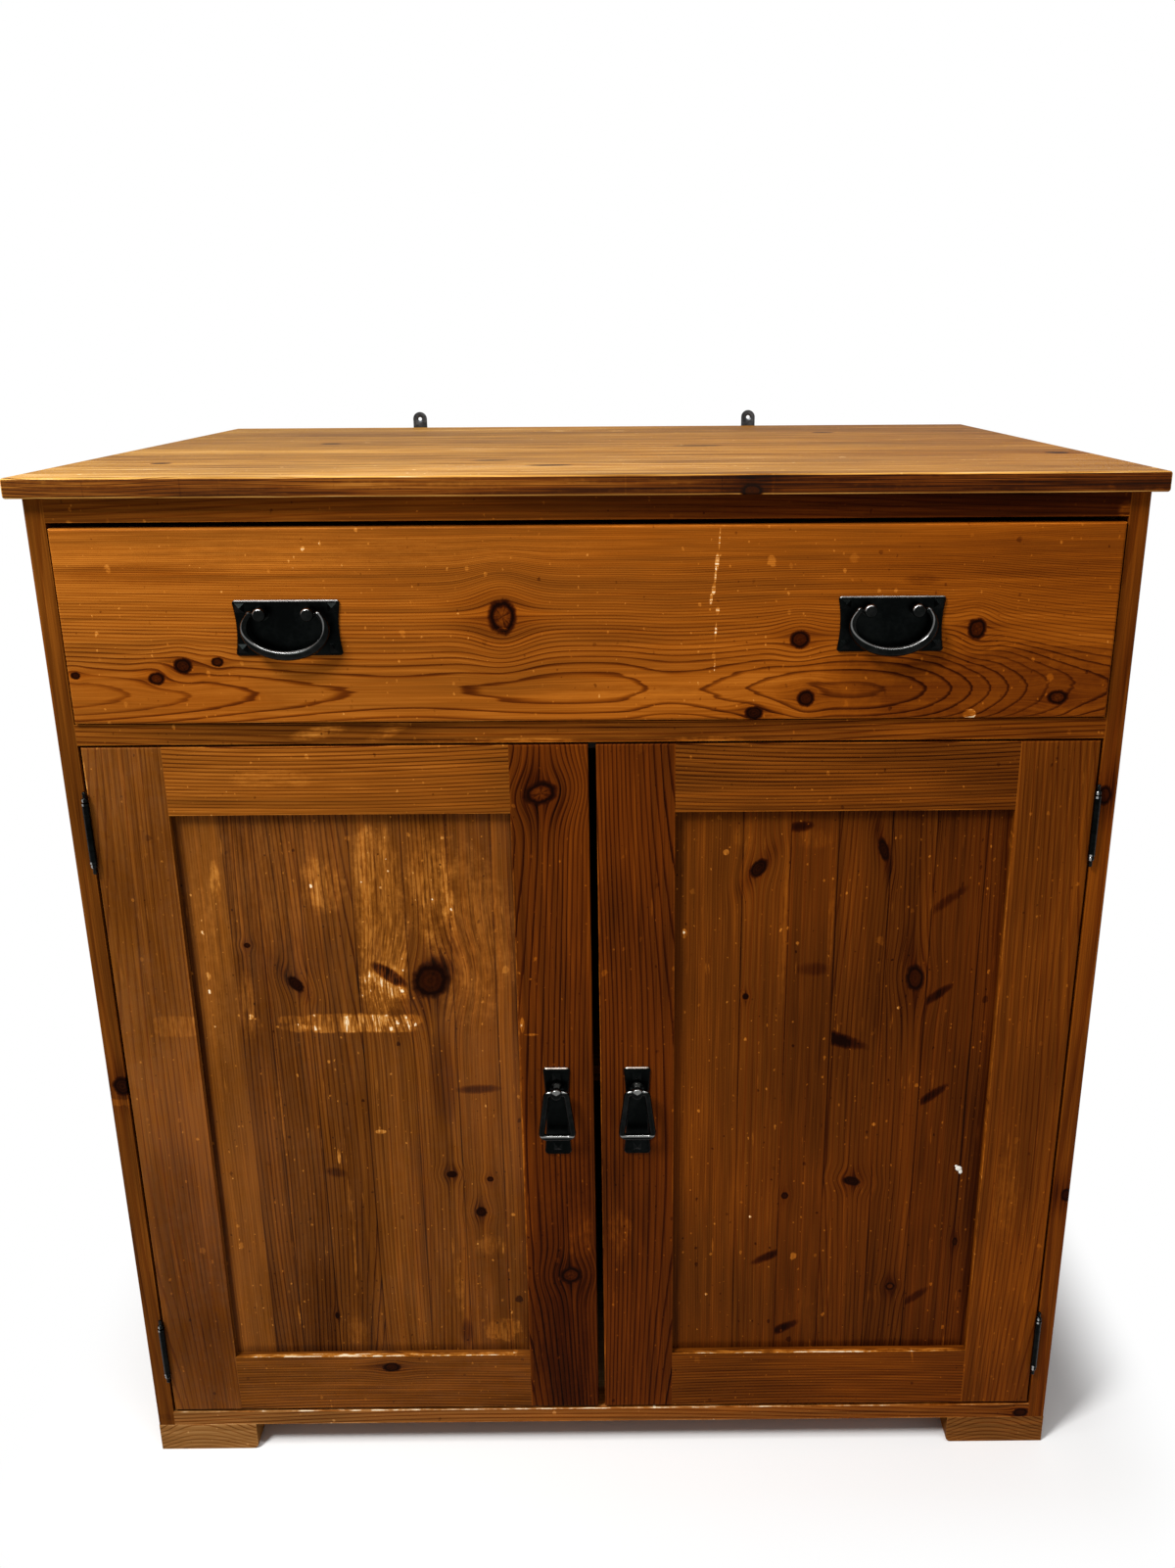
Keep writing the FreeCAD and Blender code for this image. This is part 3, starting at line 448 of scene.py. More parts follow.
WORN_IRON = IronFinish("worn_iron", (0.0040, 0.0046, 0.0044), (0.0110, 0.0115, 0.0110), 0.22, 160.0, 0.02)
DULL_STEEL = IronFinish("dull_steel", (0.030, 0.028, 0.026), (0.070, 0.066, 0.060), 0.45, 420.0, 0.12)
LUG_IRON = IronFinish("lug_iron", (0.035, 0.038, 0.042), (0.11, 0.115, 0.12), 0.42, 300.0, 0.20)
STEEL = IronFinish("bright_steel", (0.42, 0.41, 0.39), (0.55, 0.54, 0.52), 0.34, 420.0, 0.12)
CATCH = IronFinish("catch_plastic", (0.020, 0.011, 0.006), (0.030, 0.017, 0.010), 0.45, 500.0, 0.08, 0.0)
NAIL_STEEL = IronFinish("nail_steel", (0.16, 0.13, 0.11), (0.30, 0.27, 0.24), 0.42, 500.0, 0.2)
PAINT = IronFinish("dried_paint", (0.78, 0.75, 0.68), (0.62, 0.58, 0.50), 0.5, 700.0, 0.2, 0.0)


@dataclass(frozen=True)
class Board:
    """What sets one board's wood apart.

    tone is its place on the finish's colours, red the share of the red cast, pitch the width of a growth
    ring and tighten how fast the rings close up. heart is where the middle of the tree lies across the board,
    and depths how far behind the face it lies, as shares of the board's length and metres. lines is how dark
    the rings are, figure how strong the fine streaks are, and blotch how uneven the stain is. edge, specks
    and scuffs are how much its arrises, nicks and scuffs show, and haze how much of a dusting with a painted
    sheen lies on it. staves are the glued strips: where each begins across the board, and how much paler it
    is. uneven is how far they differ in their lines, and first_heart where the middle of the first one's tree
    lies, if that isn't left to chance. recess is how far the board's edges go into a frame.
    """

    node: str
    face: Face
    run: Run
    tone: float
    red: float = 0.4
    pitch: float = 0.0048
    tighten: float = 300.0
    heart: float = 0.0
    depths: tuple[Two, ...] = ((0.0, 0.03), (0.4, 0.045), (1.0, 0.025))
    lines: float = 0.22
    figure: float = 1.0
    blotch: float = 0.12
    edge: float = 0.12
    specks: float = 0.26
    scuffs: float = 0.0
    haze: float = 0.0
    staves: tuple[Two, ...] = ()
    uneven: float = 0.0
    first_heart: Optional[float] = None
    recess: float = 0.0
    knots: tuple[Knot, ...] = ()
    patches: tuple[Patch, ...] = ()
    bare: Optional[Bare] = None
    finish: PineFinish = STAINED


class PineRecipe(Recipe):
    """Writes the wood of one board.

    A noise is given as its features in a metre along and across the grain, its detail and its shift, and a
    pair named detail is a noise's detail and roughness. A pair named edge, rim, step, end or fade is where a
    smooth step starts and where it is full.
    """

    streaks: Four = (3.0, 170.0, 3.0, 0.0)
    fibres: Four = (14.0, 900.0, 2.0, 7.0)
    clouds: Four = (3.5, 9.0, 3.0, 13.0)
    rags: Four = (24.0, 75.0, 4.0, 21.0)
    crumbs: Four = (70.0, 520.0, 5.0, 31.0)
    sways: Four = (2.2, 9.0, 1.0, 4.0)
    fleck_scale: Three = (130.0, 130.0, 130.0)
    fleck_detail: Two = (5.0, 0.65)
    lump_scale: Three = (170.0, 170.0, 170.0)
    lump_detail: Two = (4.0, 0.6)
    flake_step: Two = (0.40, 0.60)
    flake_rag_share: float = 0.4
    faint_flake: float = 0.2
    fray_step: Two = (0.30, 0.50)
    faint_fray: float = 0.5

    streak_gain: float = 0.30
    fibre_gain: float = 0.28
    cloud_gain: float = 3.4
    cast_step: Two = (0.35, 0.65)
    cast_streak_share: float = 0.4
    cast_reach: float = 0.5
    cast_least: float = -0.25
    # Painted warm shade: the red cast grows towards the right.
    warm_shade_drift: float = 0.7
    cast_late: float = 0.5
    # Dark patches, dirt and painted shade alike, also turn the cast redder.
    cast_dirt_and_shade: float = 1.6
    # Painted shade: the tone falls towards the right and rises towards the top.
    shade_drift_across: float = -0.065
    shade_rise_up: float = 0.06
    haze_step: Two = (0.36, 0.66)
    haze_colour: Four = (0.30, 0.17, 0.085, 1.0)
    bare_contrast: float = 0.6
    bare_rise: float = 0.28

    heart_room: float = 0.2
    heart_aside_share: float = 0.55
    heart_stray: float = 0.06
    depth_shares: Two = (0.3, 1.0)
    tone_shift: float = 0.5
    line_slope: float = 1.3
    line_least: float = -1.2
    seam_edge: Two = (0.0011, 0.0003)
    seam_dark: float = 0.36

    sway_reach: float = 0.012
    ring_waver: float = 0.5
    late_start: float = 0.80
    late_lean: float = 0.36
    late_full: float = 0.92
    late_end: Two = (1.0, 0.94)
    ring_fade: Two = (0.16, 0.03)
    faint_ring: float = 0.5
    far_ring: float = 0.4

    flow_base: float = 0.82
    flow_share: float = 0.72
    heart_rim: Two = (1.1, 0.9)
    knot_tone: float = -0.01
    knot_rim: Two = (1.15, 0.78)
    bark_rim: Two = (0.42, 0.76)
    knot_lumps: float = 0.26
    knot_spokes: float = 0.36
    spoke_scale: Three = (2.4, 2.4, 0.0)
    spoke_detail: float = 3.0
    crack_step: Two = (0.47, 0.38)
    crack_rag: float = 0.3
    crack_dark: float = 0.45
    knot_rings: float = 20.0
    knot_ring_stray: float = 6.0
    knot_ring_gain: float = 0.03
    knot_rag: float = 0.14
    halo_base: float = 0.45
    halo_squash: float = 0.42
    halo_threads: float = 0.16
    halo_dark: float = 0.08
    halo_cast: float = 0.3
    thread_step: Two = (0.56, 0.36)

    chip_gain: float = 0.5
    mark_depth: float = 0.005
    mark_full_share: float = 0.7
    arris_rag: float = 0.0010
    arris_edge: Two = (0.0009, -0.0003)
    arris_step: Two = (0.25, 0.6)
    sawn_edge: Two = (0.0012, 0.0003)
    sawn_calm: float = 0.75
    sawn_dark: float = 0.06
    speck_sorts: tuple[Two, ...] = ((118.0, 0.55), (62.0, 0.70), (27.0, 0.82))
    speck_squash: float = 0.8
    speck_stray: float = 0.006
    speck_most: float = 1.05
    speck_size: float = 0.14
    speck_lumps: float = 0.20
    speck_rag: float = 0.22
    speck_shrink: float = 0.02
    speck_sign_step: Two = (0.34, 0.36)
    speck_dark: float = -0.6
    speck_pale: float = 0.9
    speck_edge: Two = (0.012, -0.03)
    faint_speck: float = 0.2
    speck_worn: float = 0.8
    scuff_along: float = 15.0
    scuff_across: float = 140.0
    scuff_stray: float = 0.5
    scuff_step: Two = (0.72, 1.05)
    scuff_size: float = 0.20
    scuff_edge: Two = (0.02, -0.06)
    # Painted shade with dirt along a panel's edges in its frame.
    recess_shade_stray: float = 0.008
    recess_shade_edge: Two = (0.006, 0.0)
    recess_shade_dark: float = 0.07

    bump_strength: float = 0.35
    bump_distance: float = 0.0006
    bump_fibre: float = 0.35
    bump_streak: float = 0.4
    bump_late: float = 0.5
    bump_knot: float = 0.3
    rough_cloud: float = 0.16
    rough_rag: float = 0.10
    rough_worn: float = 0.25
    rough_least: float = -0.13

    def __init__(self, board: Board) -> None:
        """Starts the material of a board.

        Args:
            board: the board that is dressed.
        """
        super().__init__(bpy.data.materials.new(f"{board.finish.name}_{board.node}"))
        self.board = board
        self.low, self.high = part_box(board.node)
        self.seed = random.Random(board.node).uniform(1.0, 90.0)
        self.position = self.node("TexCoord", out="Object")
        self.axes = self.node("SeparateXYZ", sockets={0: self.position})
        self.right, self.up, self.through = (self.axes.twin(axis) for axis in board.face.value)
        self.flat = self.combine(self.right, self.up, self.through)
        upward = board.run is Run.UP
        self.along, self.across = (self.up, self.right) if upward else (self.right, self.up)

    def box_side(self, axis: str) -> Two:
        """Returns the board's least and greatest place on an axis."""
        index = "XYZ".index(axis)
        return self.low[index], self.high[index]

    def edge_gap(self, axis: str) -> Shade:
        """Finds the nearer of the board's two faces on an axis.

        Args:
            axis: the axis's letter.

        Returns:
            How far the place is from that face.
        """
        low, high = self.box_side(axis)
        here = self.axes.twin(axis)
        return self.math("MINIMUM", here - low, high - here)

    def spot(self, mark: Union[Knot, Patch]) -> Shade:
        """Measures the place from a mark.

        Args:
            mark: the knot or patch.

        Returns:
            The place relative to the mark's middle, in its half sizes.
        """
        sockets = {
            "Vector": self.flat,
            "Location": (mark.right, mark.up, mark.through),
            "Rotation": (0.0, 0.0, math.radians(mark.turn)),
            "Scale": (mark.wide, mark.high, mark.deep),
        }
        return self.node("Mapping", {"vector_type": "TEXTURE"}, sockets)

    def grain_noise(self, along: float, across: float, detail: float, shift: float) -> Shade:
        """Returns noise that is drawn out along the grain.

        Args:
            along: features in a metre along the grain.
            across: features in a metre across it.
            detail: the noise's detail.
            shift: keeps one noise of a board from lying on another.

        Returns:
            The noise, from about 0 to 1.
        """
        offset = (self.seed + shift, self.seed, shift)
        place = self.vector("MULTIPLY_ADD", self.grain, (along, across, across), offset)
        return self.noise(place, detail)

    def strewn(self, place: Shade, scale: float = 1.0) -> tuple[Shade, Shade]:
        """Strews points over a plane.

        Args:
            place: the place in that plane.
            scale: how many points there are to a unit of it.

        Returns:
            The distance to the nearest point, and three numbers that are drawn for that point.
        """
        sockets = {"Vector": place, "Scale": scale}
        away = self.node("TexVoronoi", {"voronoi_dimensions": "2D"}, sockets, "Distance")
        return away, self.node("SeparateXYZ", sockets={0: away.twin("Color")})

    def bend_grain(self) -> None:
        """Bends the grain round the knots, and keeps the nearest knot's place and the light of its heart."""
        self.near: Optional[Shade] = None
        self.nearest: Optional[Shade] = None
        self.hearts: Value = 0.0
        across = self.across
        upward = self.board.run is Run.UP
        for knot in self.board.knots:
            spot = self.spot(knot)
            away = self.vector("DOT_PRODUCT", spot, spot, out="Value")
            if self.near is None:
                self.near, self.nearest = away, spot
            else:
                closer = self.math("LESS_THAN", away, self.near)
                sockets = {0: closer, 4: self.nearest, 5: spot}
                self.nearest = self.node("Mix", {"data_type": "VECTOR"}, sockets, 1)
                self.near = self.math("MINIMUM", self.near, away)
            middle = knot.right if upward else knot.up
            across = across - (self.across - middle) * self.flow_base**away * self.flow_share
            self.hearts = self.step(away, *self.heart_rim) * knot.heart + self.hearts
        self.bent = across
        self.grain = self.combine(self.along, self.bent, self.through)

    def split_staves(self) -> None:
        """Gives each glued stave its own tone and its own place in the tree."""
        board = self.board
        self.stave_tone: Value = 0.0
        self.seam: Value = 0.0
        self.heart: Value = board.heart
        self.depth_gain: Value = 1.0
        self.line_gain: Value = 1.0
        if not board.staves:
            return
        low, high = self.box_side(board.face.value[1 - board.run.value])
        start, reach = low - self.heart_room, high - low + self.heart_room * 2.0
        draw = random.Random(board.node)
        ends = [edge for edge, _ in board.staves[1:]] + [high]
        stops = []
        for (begin, gain), end in zip(board.staves, ends):
            side = draw.choice((-1.0, 1.0))
            aside = (end - begin) * self.heart_aside_share + draw.uniform(0.0, self.heart_stray)
            middle = 0.5 * (max(begin, low) + end) + side * aside
            if not stops and board.first_heart is not None:
                middle = board.first_heart
            stave = (gain + self.tone_shift, (middle - start) / reach, draw.uniform(*self.depth_shares))
            stops.append((max(begin - low, 0.0) / (high - low), stave))
        share = (self.across - low) / (high - low)
        told = self.node("ValToRGB", {"flats": tuple(stops)}, {0: share})
        parts = self.node("SeparateXYZ", sockets={0: told})
        self.stave_tone = parts - self.tone_shift
        self.heart = parts.twin("Y") * reach + start
        self.depth_gain = parts.twin("Z")
        self.line_gain = (self.depth_gain * self.line_slope + self.line_least) * board.uneven + 1.0
        for edge, _ in board.staves[1:]:
            self.seam = self.step(self.math("ABSOLUTE", self.across - edge), *self.seam_edge) + self.seam

    def rings(self) -> None:
        """Draws the growth rings: pale early wood that darkens to a sharp late line."""
        board = self.board
        low, high = self.box_side(board.face.value[board.run.value])
        share = (self.along - low) / (high - low)
        depth = self.node("FloatCurve", {"points": board.depths}, {"Value": share}) * self.depth_gain
        back = self.box_side(board.face.value[2])[0]
        sway = self.centred(self.grain_noise(*self.sways))
        aside = self.bent - self.heart + sway * self.sway_reach
        deep = self.through - back + depth
        radius = self.math("SQRT", aside * aside + deep * deep)
        phase = radius / board.pitch + radius * radius * board.tighten
        phase = phase + self.centred(self.streak) * self.ring_waver
        ring = self.math("FLOOR", phase)
        chance = self.node("TexWhiteNoise", {"noise_dimensions": "1D"}, {"W": ring + self.seed})
        share = phase - ring
        slope = self.math("ABSOLUTE", aside) / radius
        line = self.step(share, self.late_start - slope * self.late_lean, self.late_full)
        line = line * self.step(share, *self.late_end)
        fade = self.raised(self.step(radius, *self.ring_fade), self.far_ring)
        self.late = line * self.raised(chance, self.faint_ring) * fade

    def wear(self) -> tuple[Value, Value]:
        """Adds up the worn and dirty places and the patches of painted shade and highlight.

        Returns:
            How much paler they make the wood, and how much of it is worn or carries a painted highlight.
        """
        gain: Value = 0.0
        worn: Value = 0.0
        self.chips: Value = 0.0
        shown: Value = 1.0
        if self.board.face is Face.FRONT:
            front = self.box_side("Y")[0]
            full = front + self.mark_depth * self.mark_full_share
            shown = self.step(self.through, front + self.mark_depth, full)
        for patch in self.board.patches:
            spot = self.spot(patch)
            for _ in range(patch.square):
                spot = self.vector("MULTIPLY", spot, spot)
            away = self.vector("DOT_PRODUCT", spot, spot, out="Value")
            edge = self.centred(self.rag) * patch.ragged - away + 1.0
            mask = self.step(edge, 0.0, patch.soft) * shown
            mask = mask * (self.flake if patch.gain > 0.0 else self.fray)
            if patch.kept is not None:
                first = self.math("GREATER_THAN", self.right, patch.kept[0])
                mask = mask * first * self.math("LESS_THAN", self.right, patch.kept[1])
            if patch.gain > self.chip_gain:
                self.chips = mask * patch.gain + self.chips
                continue
            gain = mask * patch.gain + gain
            if patch.gain > 0.0:
                worn = mask * patch.gain + worn
        return gain, worn

    def arris(self) -> Shade:
        """Finds the worn arrises of the board.

        Returns:
            1 on an arris and 0 off it, with a ragged border.
        """
        first, second, third = (self.edge_gap(axis) for axis in "XYZ")
        lesser = self.math("MINIMUM", first, second)
        greater = self.math("MAXIMUM", first, second)
        middle = self.math("MAXIMUM", lesser, self.math("MINIMUM", greater, third))
        near = self.step(middle - self.rag * self.arris_rag, *self.arris_edge)
        return near * self.step(self.rag, *self.arris_step)

    def sawn_end(self) -> Shade:
        """Returns 1 on the board's two sawn ends and 0 elsewhere."""
        return self.step(self.edge_gap(self.board.face.value[self.board.run.value]), *self.sawn_edge)

    def speckle(self) -> Value:
        """Strews small nicks and specks of three sizes.

        Returns:
            How much they change the tone, pale above 0 and dark below.
        """
        total: Value = 0.0
        rough = self.centred(self.lumps) * self.speck_lumps + self.centred(self.rag) * self.speck_rag
        upward = self.up * self.speck_squash + self.lumps * self.speck_stray
        place = self.combine(self.right + self.seed, upward)
        for scale, least in self.speck_sorts:
            away, chance = self.strewn(place, scale)
            size = self.step(chance, least, self.speck_most) * self.speck_size + rough - self.speck_shrink
            pale = self.step(chance.twin("Y"), *self.speck_sign_step)
            sign = pale * (self.speck_pale - self.speck_dark) + self.speck_dark
            speck = self.step(away - size, *self.speck_edge)
            total = speck * sign * self.raised(chance.twin("Z"), self.faint_speck) + total
        return total

    def scuffs(self) -> Value:
        """Strews short pale scuffs that lie along the grain.

        Returns:
            How strongly the place is scuffed, from 0 to 1.
        """
        if not self.board.scuffs:
            return 0.0
        across = self.across * self.scuff_across + self.rag * self.scuff_stray
        away, chance = self.strewn(self.combine(self.along * self.scuff_along, across))
        size = self.step(chance, *self.scuff_step) * self.scuff_size
        return self.step(away - size, *self.scuff_edge) * chance.twin("Z") * self.flake

    def recess_shade_and_dirt(self) -> Value:
        """Darkens a panel along its edges in its frame: painted shade of the recess, with the dirt that
        gathers there.

        Returns:
            1 at those edges and 0 away from them.
        """
        if not self.board.recess:
            return 0.0
        gaps = [self.edge_gap(axis) for axis in self.board.face.value[:2]]
        border = self.math("MINIMUM", *gaps) - self.board.recess
        return self.step(border - self.rag * self.recess_shade_stray, *self.recess_shade_edge)

    def bare_face(self, bare: Bare) -> Shade:
        """Finds the face that was left unstained.

        Args:
            bare: where it lies.

        Returns:
            1 on that face and 0 elsewhere.
        """
        inner = self.step(self.axes.twin(bare.axis), bare.stained, bare.bare)
        back = self.axes.twin("Y") + self.rag * bare.fade
        return inner * self.step(back, bare.front, bare.front + bare.fade)

    def set_noises(self) -> None:
        """Makes the noises that the wood is drawn with."""
        self.streak = self.grain_noise(*self.streaks)
        self.fibre = self.grain_noise(*self.fibres)
        self.cloud = self.grain_noise(*self.clouds)
        lumps = self.vector("MULTIPLY", self.position, self.lump_scale)
        self.lumps = self.noise(lumps, *self.lump_detail)
        flecks = self.vector("MULTIPLY", self.position, self.fleck_scale)
        self.rag = self.mingle(self.grain_noise(*self.rags), self.noise(flecks, *self.fleck_detail))
        crumbs = self.mingle(self.grain_noise(*self.crumbs), self.rag, self.flake_rag_share)
        self.flake = self.raised(self.step(crumbs, *self.flake_step), self.faint_flake)
        fray = self.step(self.mingle(self.fibre, self.rag), *self.fray_step)
        self.fray = self.raised(fray, self.faint_fray)

    def weathered(self, gain: Value, worn: Value) -> tuple[Shade, Shade]:
        """Draws the wood between its knots.

        Args:
            gain: how much paler the worn and dirty places make it.
            worn: how much of it is worn.

        Returns:
            Its tone, and its share of the red cast.
        """
        board = self.board
        fine = self.centred(self.streak) * self.streak_gain + self.centred(self.fibre) * self.fibre_gain
        sawn = self.sawn_end()
        fine = fine * (1.0 - sawn * self.sawn_calm) - sawn * self.sawn_dark
        tone = self.centred(self.cloud) * board.blotch * self.cloud_gain + fine * board.figure + board.tone
        tone = tone - self.late * board.lines * self.line_gain + self.stave_tone
        # Painted shade: darker towards the right and the bottom.
        tone = self.axes.twin("X") * self.shade_drift_across + self.axes.twin("Z") * self.shade_rise_up + tone
        tone = tone + gain + self.arris() * board.edge
        tone = tone + self.speckle() * (worn * self.speck_worn + board.specks)
        # Painted shade with dirt along a panel's edges in its frame.
        tone = tone - self.recess_shade_and_dirt() * self.recess_shade_dark
        tone = tone + self.scuffs() * board.scuffs - self.seam * (self.rag * self.seam_dark)
        cloudy = self.step(self.mingle(self.cloud, self.streak, self.cast_streak_share), *self.cast_step)
        cast = cloudy * self.cast_reach + (board.red + self.cast_least)
        # Painted warm shade: redder towards the right.
        cast = self.axes.twin("X") * self.warm_shade_drift + self.late * self.cast_late + cast
        # Dark patches, dirt and painted shade alike, redden the cast.
        return tone, cast + (worn - gain) * self.cast_dirt_and_shade

    def build(self) -> bpy.types.Material:
        """Writes the tree.

        Returns:
            The board's material.
        """
        board = self.board
        self.bend_grain()
        self.split_staves()
        self.set_noises()
        self.rings()
        gain, worn = self.wear()
        tone, cast = self.weathered(gain, worn)
        inside: Value = 0.0
        if self.near is not None:
            tone, cast, inside = self.knotted(tone, cast)
        tone = tone + self.chips
        colour = self.coloured(board.finish, tone, cast)
        # Haze: a dusting with a painted sheen, mixed toward a pale tan.
        if board.haze:
            dust_and_sheen_share = self.step(self.mingle(self.cloud, self.rag), *self.haze_step) * (1.0 - inside)
            colour = self.blend(dust_and_sheen_share * board.haze, colour, self.haze_colour)
        if board.bare is not None:
            plain = self.coloured(RAW, tone * self.bare_contrast + self.bare_rise, cast)
            colour = self.blend(self.bare_face(board.bare), colour, plain)
        height = self.fibre * self.bump_fibre + self.streak * self.bump_streak
        height = height - self.late * self.bump_late - inside * self.bump_knot
        relief = {"Strength": self.bump_strength, "Distance": self.bump_distance, "Height": height}
        rough = self.cloud * self.rough_cloud + self.rag * self.rough_rag + worn * self.rough_worn
        sockets = {
            "Base Color": colour,
            "Roughness": rough + (board.finish.rough + self.rough_least),
            "Normal": self.node("Bump", sockets=relief),
            "Specular IOR Level": board.finish.specular,
        }
        self.finish(self.node("BsdfPrincipled", sockets=sockets))
        return self.owner

    def knotted(self, tone: Shade, cast: Shade) -> tuple[Shade, Shade, Shade]:
        """Draws the knots: a black bark with a ragged outline round a ringed and cracked heart.

        Args:
            tone: the tone of the wood round them.
            cast: its share of the red cast.

        Returns:
            The tone and cast with the knots, and how far the place is inside one.
        """
        unit = self.vector("NORMALIZE", self.nearest)
        turned = self.vector("MULTIPLY_ADD", unit, self.spoke_scale, (self.seed, self.seed, self.seed))
        spokes = self.noise(turned, self.spoke_detail)
        plain = self.math("SQRT", self.near)
        rough = self.centred(self.lumps) * self.knot_lumps + self.centred(spokes) * self.knot_spokes
        inside = self.step(plain + rough, *self.knot_rim)
        bark = self.step(plain + rough, *self.bark_rim)
        cracks = self.step(spokes + self.centred(self.rag) * self.crack_rag, *self.crack_step)
        rings = self.math("SINE", plain * self.knot_rings + self.lumps * self.knot_ring_stray)
        heart = self.hearts * (1.0 - bark) * (1.0 - cracks * self.crack_dark)
        heart = heart + rings * self.knot_ring_gain + self.centred(self.rag) * self.knot_rag
        upward = self.board.run is Run.UP
        stretch = (1.0, self.halo_squash, 0.0) if upward else (self.halo_squash, 1.0, 0.0)
        eye = self.vector("MULTIPLY", self.nearest, stretch)
        halo = self.halo_base ** self.vector("DOT_PRODUCT", eye, eye, out="Value")
        threads = self.step(self.mingle(self.fibre, self.streak), *self.thread_step)
        tone = tone - halo * (threads * self.halo_threads + self.halo_dark)
        tone = tone + (heart + self.knot_tone - tone) * inside
        return tone, halo * self.halo_cast + cast, inside

    def coloured(self, finish: PineFinish, tone: Shade, cast: Shade) -> Shade:
        """Colours the wood in a finish.

        Args:
            finish: the finish.
            tone: the place on its colours.
            cast: the share of its red cast.

        Returns:
            The colour, between the yellow and the red cast.
        """
        yellow = self.node("ValToRGB", {"stops": finish.yellow}, {0: tone})
        red = self.node("ValToRGB", {"stops": finish.red}, {0: tone})
        return self.blend(cast, yellow, red)


@dataclass(frozen=True)
class PaintedHighlight:
    """A painted highlight: a thin line of light painted into the colour of a piece of iron.

    middle is the point that its shape is measured from, bright its colour, glint the direction that shines,
    and sharp how squarely a surface faces that direction where the shine begins and where it is full.
    """

    middle: Three = (0.0, 0.0, 0.0)
    bright: Colour = (0.55, 0.55, 0.54)
    glint: Three = (-0.42, -0.68, 0.60)
    sharp: Two = (0.92, 0.985)

    def facing(self, recipe: "IronRecipe", offset: Shade) -> Shade:
        """Returns how fully an offset from the middle of a round piece shines."""
        seen = recipe.vector("DOT_PRODUCT", recipe.vector("NORMALIZE", offset), self.glint, out="Value")
        return recipe.step(seen, *self.sharp)

    def parts(self, recipe: "IronRecipe") -> tuple[Shade, Shade, Shade]:
        """Measures the place from the middle.

        Args:
            recipe: the material that is written.

        Returns:
            How far the place lies to the right of it, behind it and above it.
        """
        place = recipe.vector("SUBTRACT", recipe.position, self.middle)
        right = recipe.node("SeparateXYZ", sockets={0: place})
        return right, right.twin("Y"), right.twin("Z")

    def mask(self, recipe: "IronRecipe") -> Shade:
        """Returns 1 on the line and 0 off it, which each kind of line works out for itself."""
        raise NotImplementedError


@dataclass(frozen=True)
class BailLine(PaintedHighlight):
    """The painted highlight along a bail, which follows an ellipse of the given half sizes."""

    bright: Colour = (0.20, 0.20, 0.195)
    glint: Three = (-0.32, -0.56, 0.764)
    sharp: Two = (0.955, 0.995)
    half: Two = (0.0368, 0.02443)

    def mask(self, recipe: "IronRecipe") -> Shade:
        """Finds where the bail shines.

        Args:
            recipe: the material that is written.

        Returns:
            1 on the line and 0 off it.
        """
        wide, high = self.half
        place = recipe.vector("SUBTRACT", recipe.position, self.middle)
        slope = recipe.vector("MULTIPLY", place, (wide**-2, 0.0, high**-2))
        level = recipe.math("SQRT", recipe.vector("DOT_PRODUCT", slope, place, out="Value"))
        gap = (level - 1.0) * level / recipe.vector("LENGTH", slope, out="Value")
        outward = recipe.vector("MULTIPLY", recipe.vector("NORMALIZE", slope), gap)
        offset = recipe.vector("MULTIPLY_ADD", place, (0.0, 1.0, 0.0), outward)
        unit = recipe.vector("NORMALIZE", offset)
        seen = recipe.vector("DOT_PRODUCT", unit, self.glint, out="Value")
        course = recipe.vector("NORMALIZE", recipe.vector("CROSS_PRODUCT", slope, (0.0, 1.0, 0.0)))
        askew = recipe.vector("DOT_PRODUCT", course, self.glint, out="Value")
        return recipe.step(seen / recipe.math("SQRT", 1.0 - askew * askew), *self.sharp)


@dataclass(frozen=True)
class DropLine(PaintedHighlight):
    """The painted highlights on the upper and lower bars of a drop: half the way between them, and where they
    end.
    """

    glint: Three = (0.0, -0.73, 0.68)
    half: float = 0.026
    bar_edge: Two = (0.00352, 0.00288)

    def mask(self, recipe: "IronRecipe") -> Shade:
        """Finds where the two bars shine.

        Args:
            recipe: the material that is written.

        Returns:
            1 on the lines and 0 off them.
        """
        _, deep, up = self.parts(recipe)
        beyond = recipe.math("ABSOLUTE", up) - self.half
        bars = recipe.step(recipe.math("ABSOLUTE", beyond), *self.bar_edge)
        return bars * self.facing(recipe, recipe.combine(0.0, deep, beyond * recipe.math("SIGN", up)))


@dataclass(frozen=True)
class TwinLine(PaintedHighlight):
    """The painted highlight on two turned pieces that stand beside the middle.

    aside is how far off each stands, upright whether they stand upright or point to the front. band gives
    how far behind the front the shine starts, is full, fades and ends, and rim the radius it keeps outside.
    """

    aside: float = 0.0
    upright: bool = False
    front: float = 0.0
    band: Four = (0.0002, 0.0009, 0.0022, 0.0032)
    rim: Two = (0.0, 0.0001)

    def mask(self, recipe: "IronRecipe") -> Shade:
        """Finds where the turned pieces shine.

        Args:
            recipe: the material that is written.

        Returns:
            1 where they shine and 0 elsewhere.
        """
        right, deep, up = self.parts(recipe)
        right = (recipe.math("ABSOLUTE", right) - self.aside) * recipe.math("SIGN", right)
        offset = recipe.combine(right, deep, 0.0) if self.upright else recipe.combine(right, 0.0, up)
        behind = deep + (self.middle[1] - self.front)
        start, full, fade, end = self.band
        kept = recipe.step(behind, start, full) * recipe.step(behind, end, fade)
        outer = recipe.step(recipe.vector("LENGTH", offset, out="Value"), *self.rim)
        return self.facing(recipe, offset) * kept * outer


@dataclass(frozen=True)
class EdgeLine(PaintedHighlight):
    """The painted highlight along the top edge of a plate, where the middle lies.

    levels are the heights from there at which the shine starts and is full.
    """

    levels: Two = (-0.0013, -0.00026)

    def mask(self, recipe: "IronRecipe") -> Shade:
        """Returns 1 on the line and 0 off it."""
        return recipe.step(self.parts(recipe)[2], *self.levels)


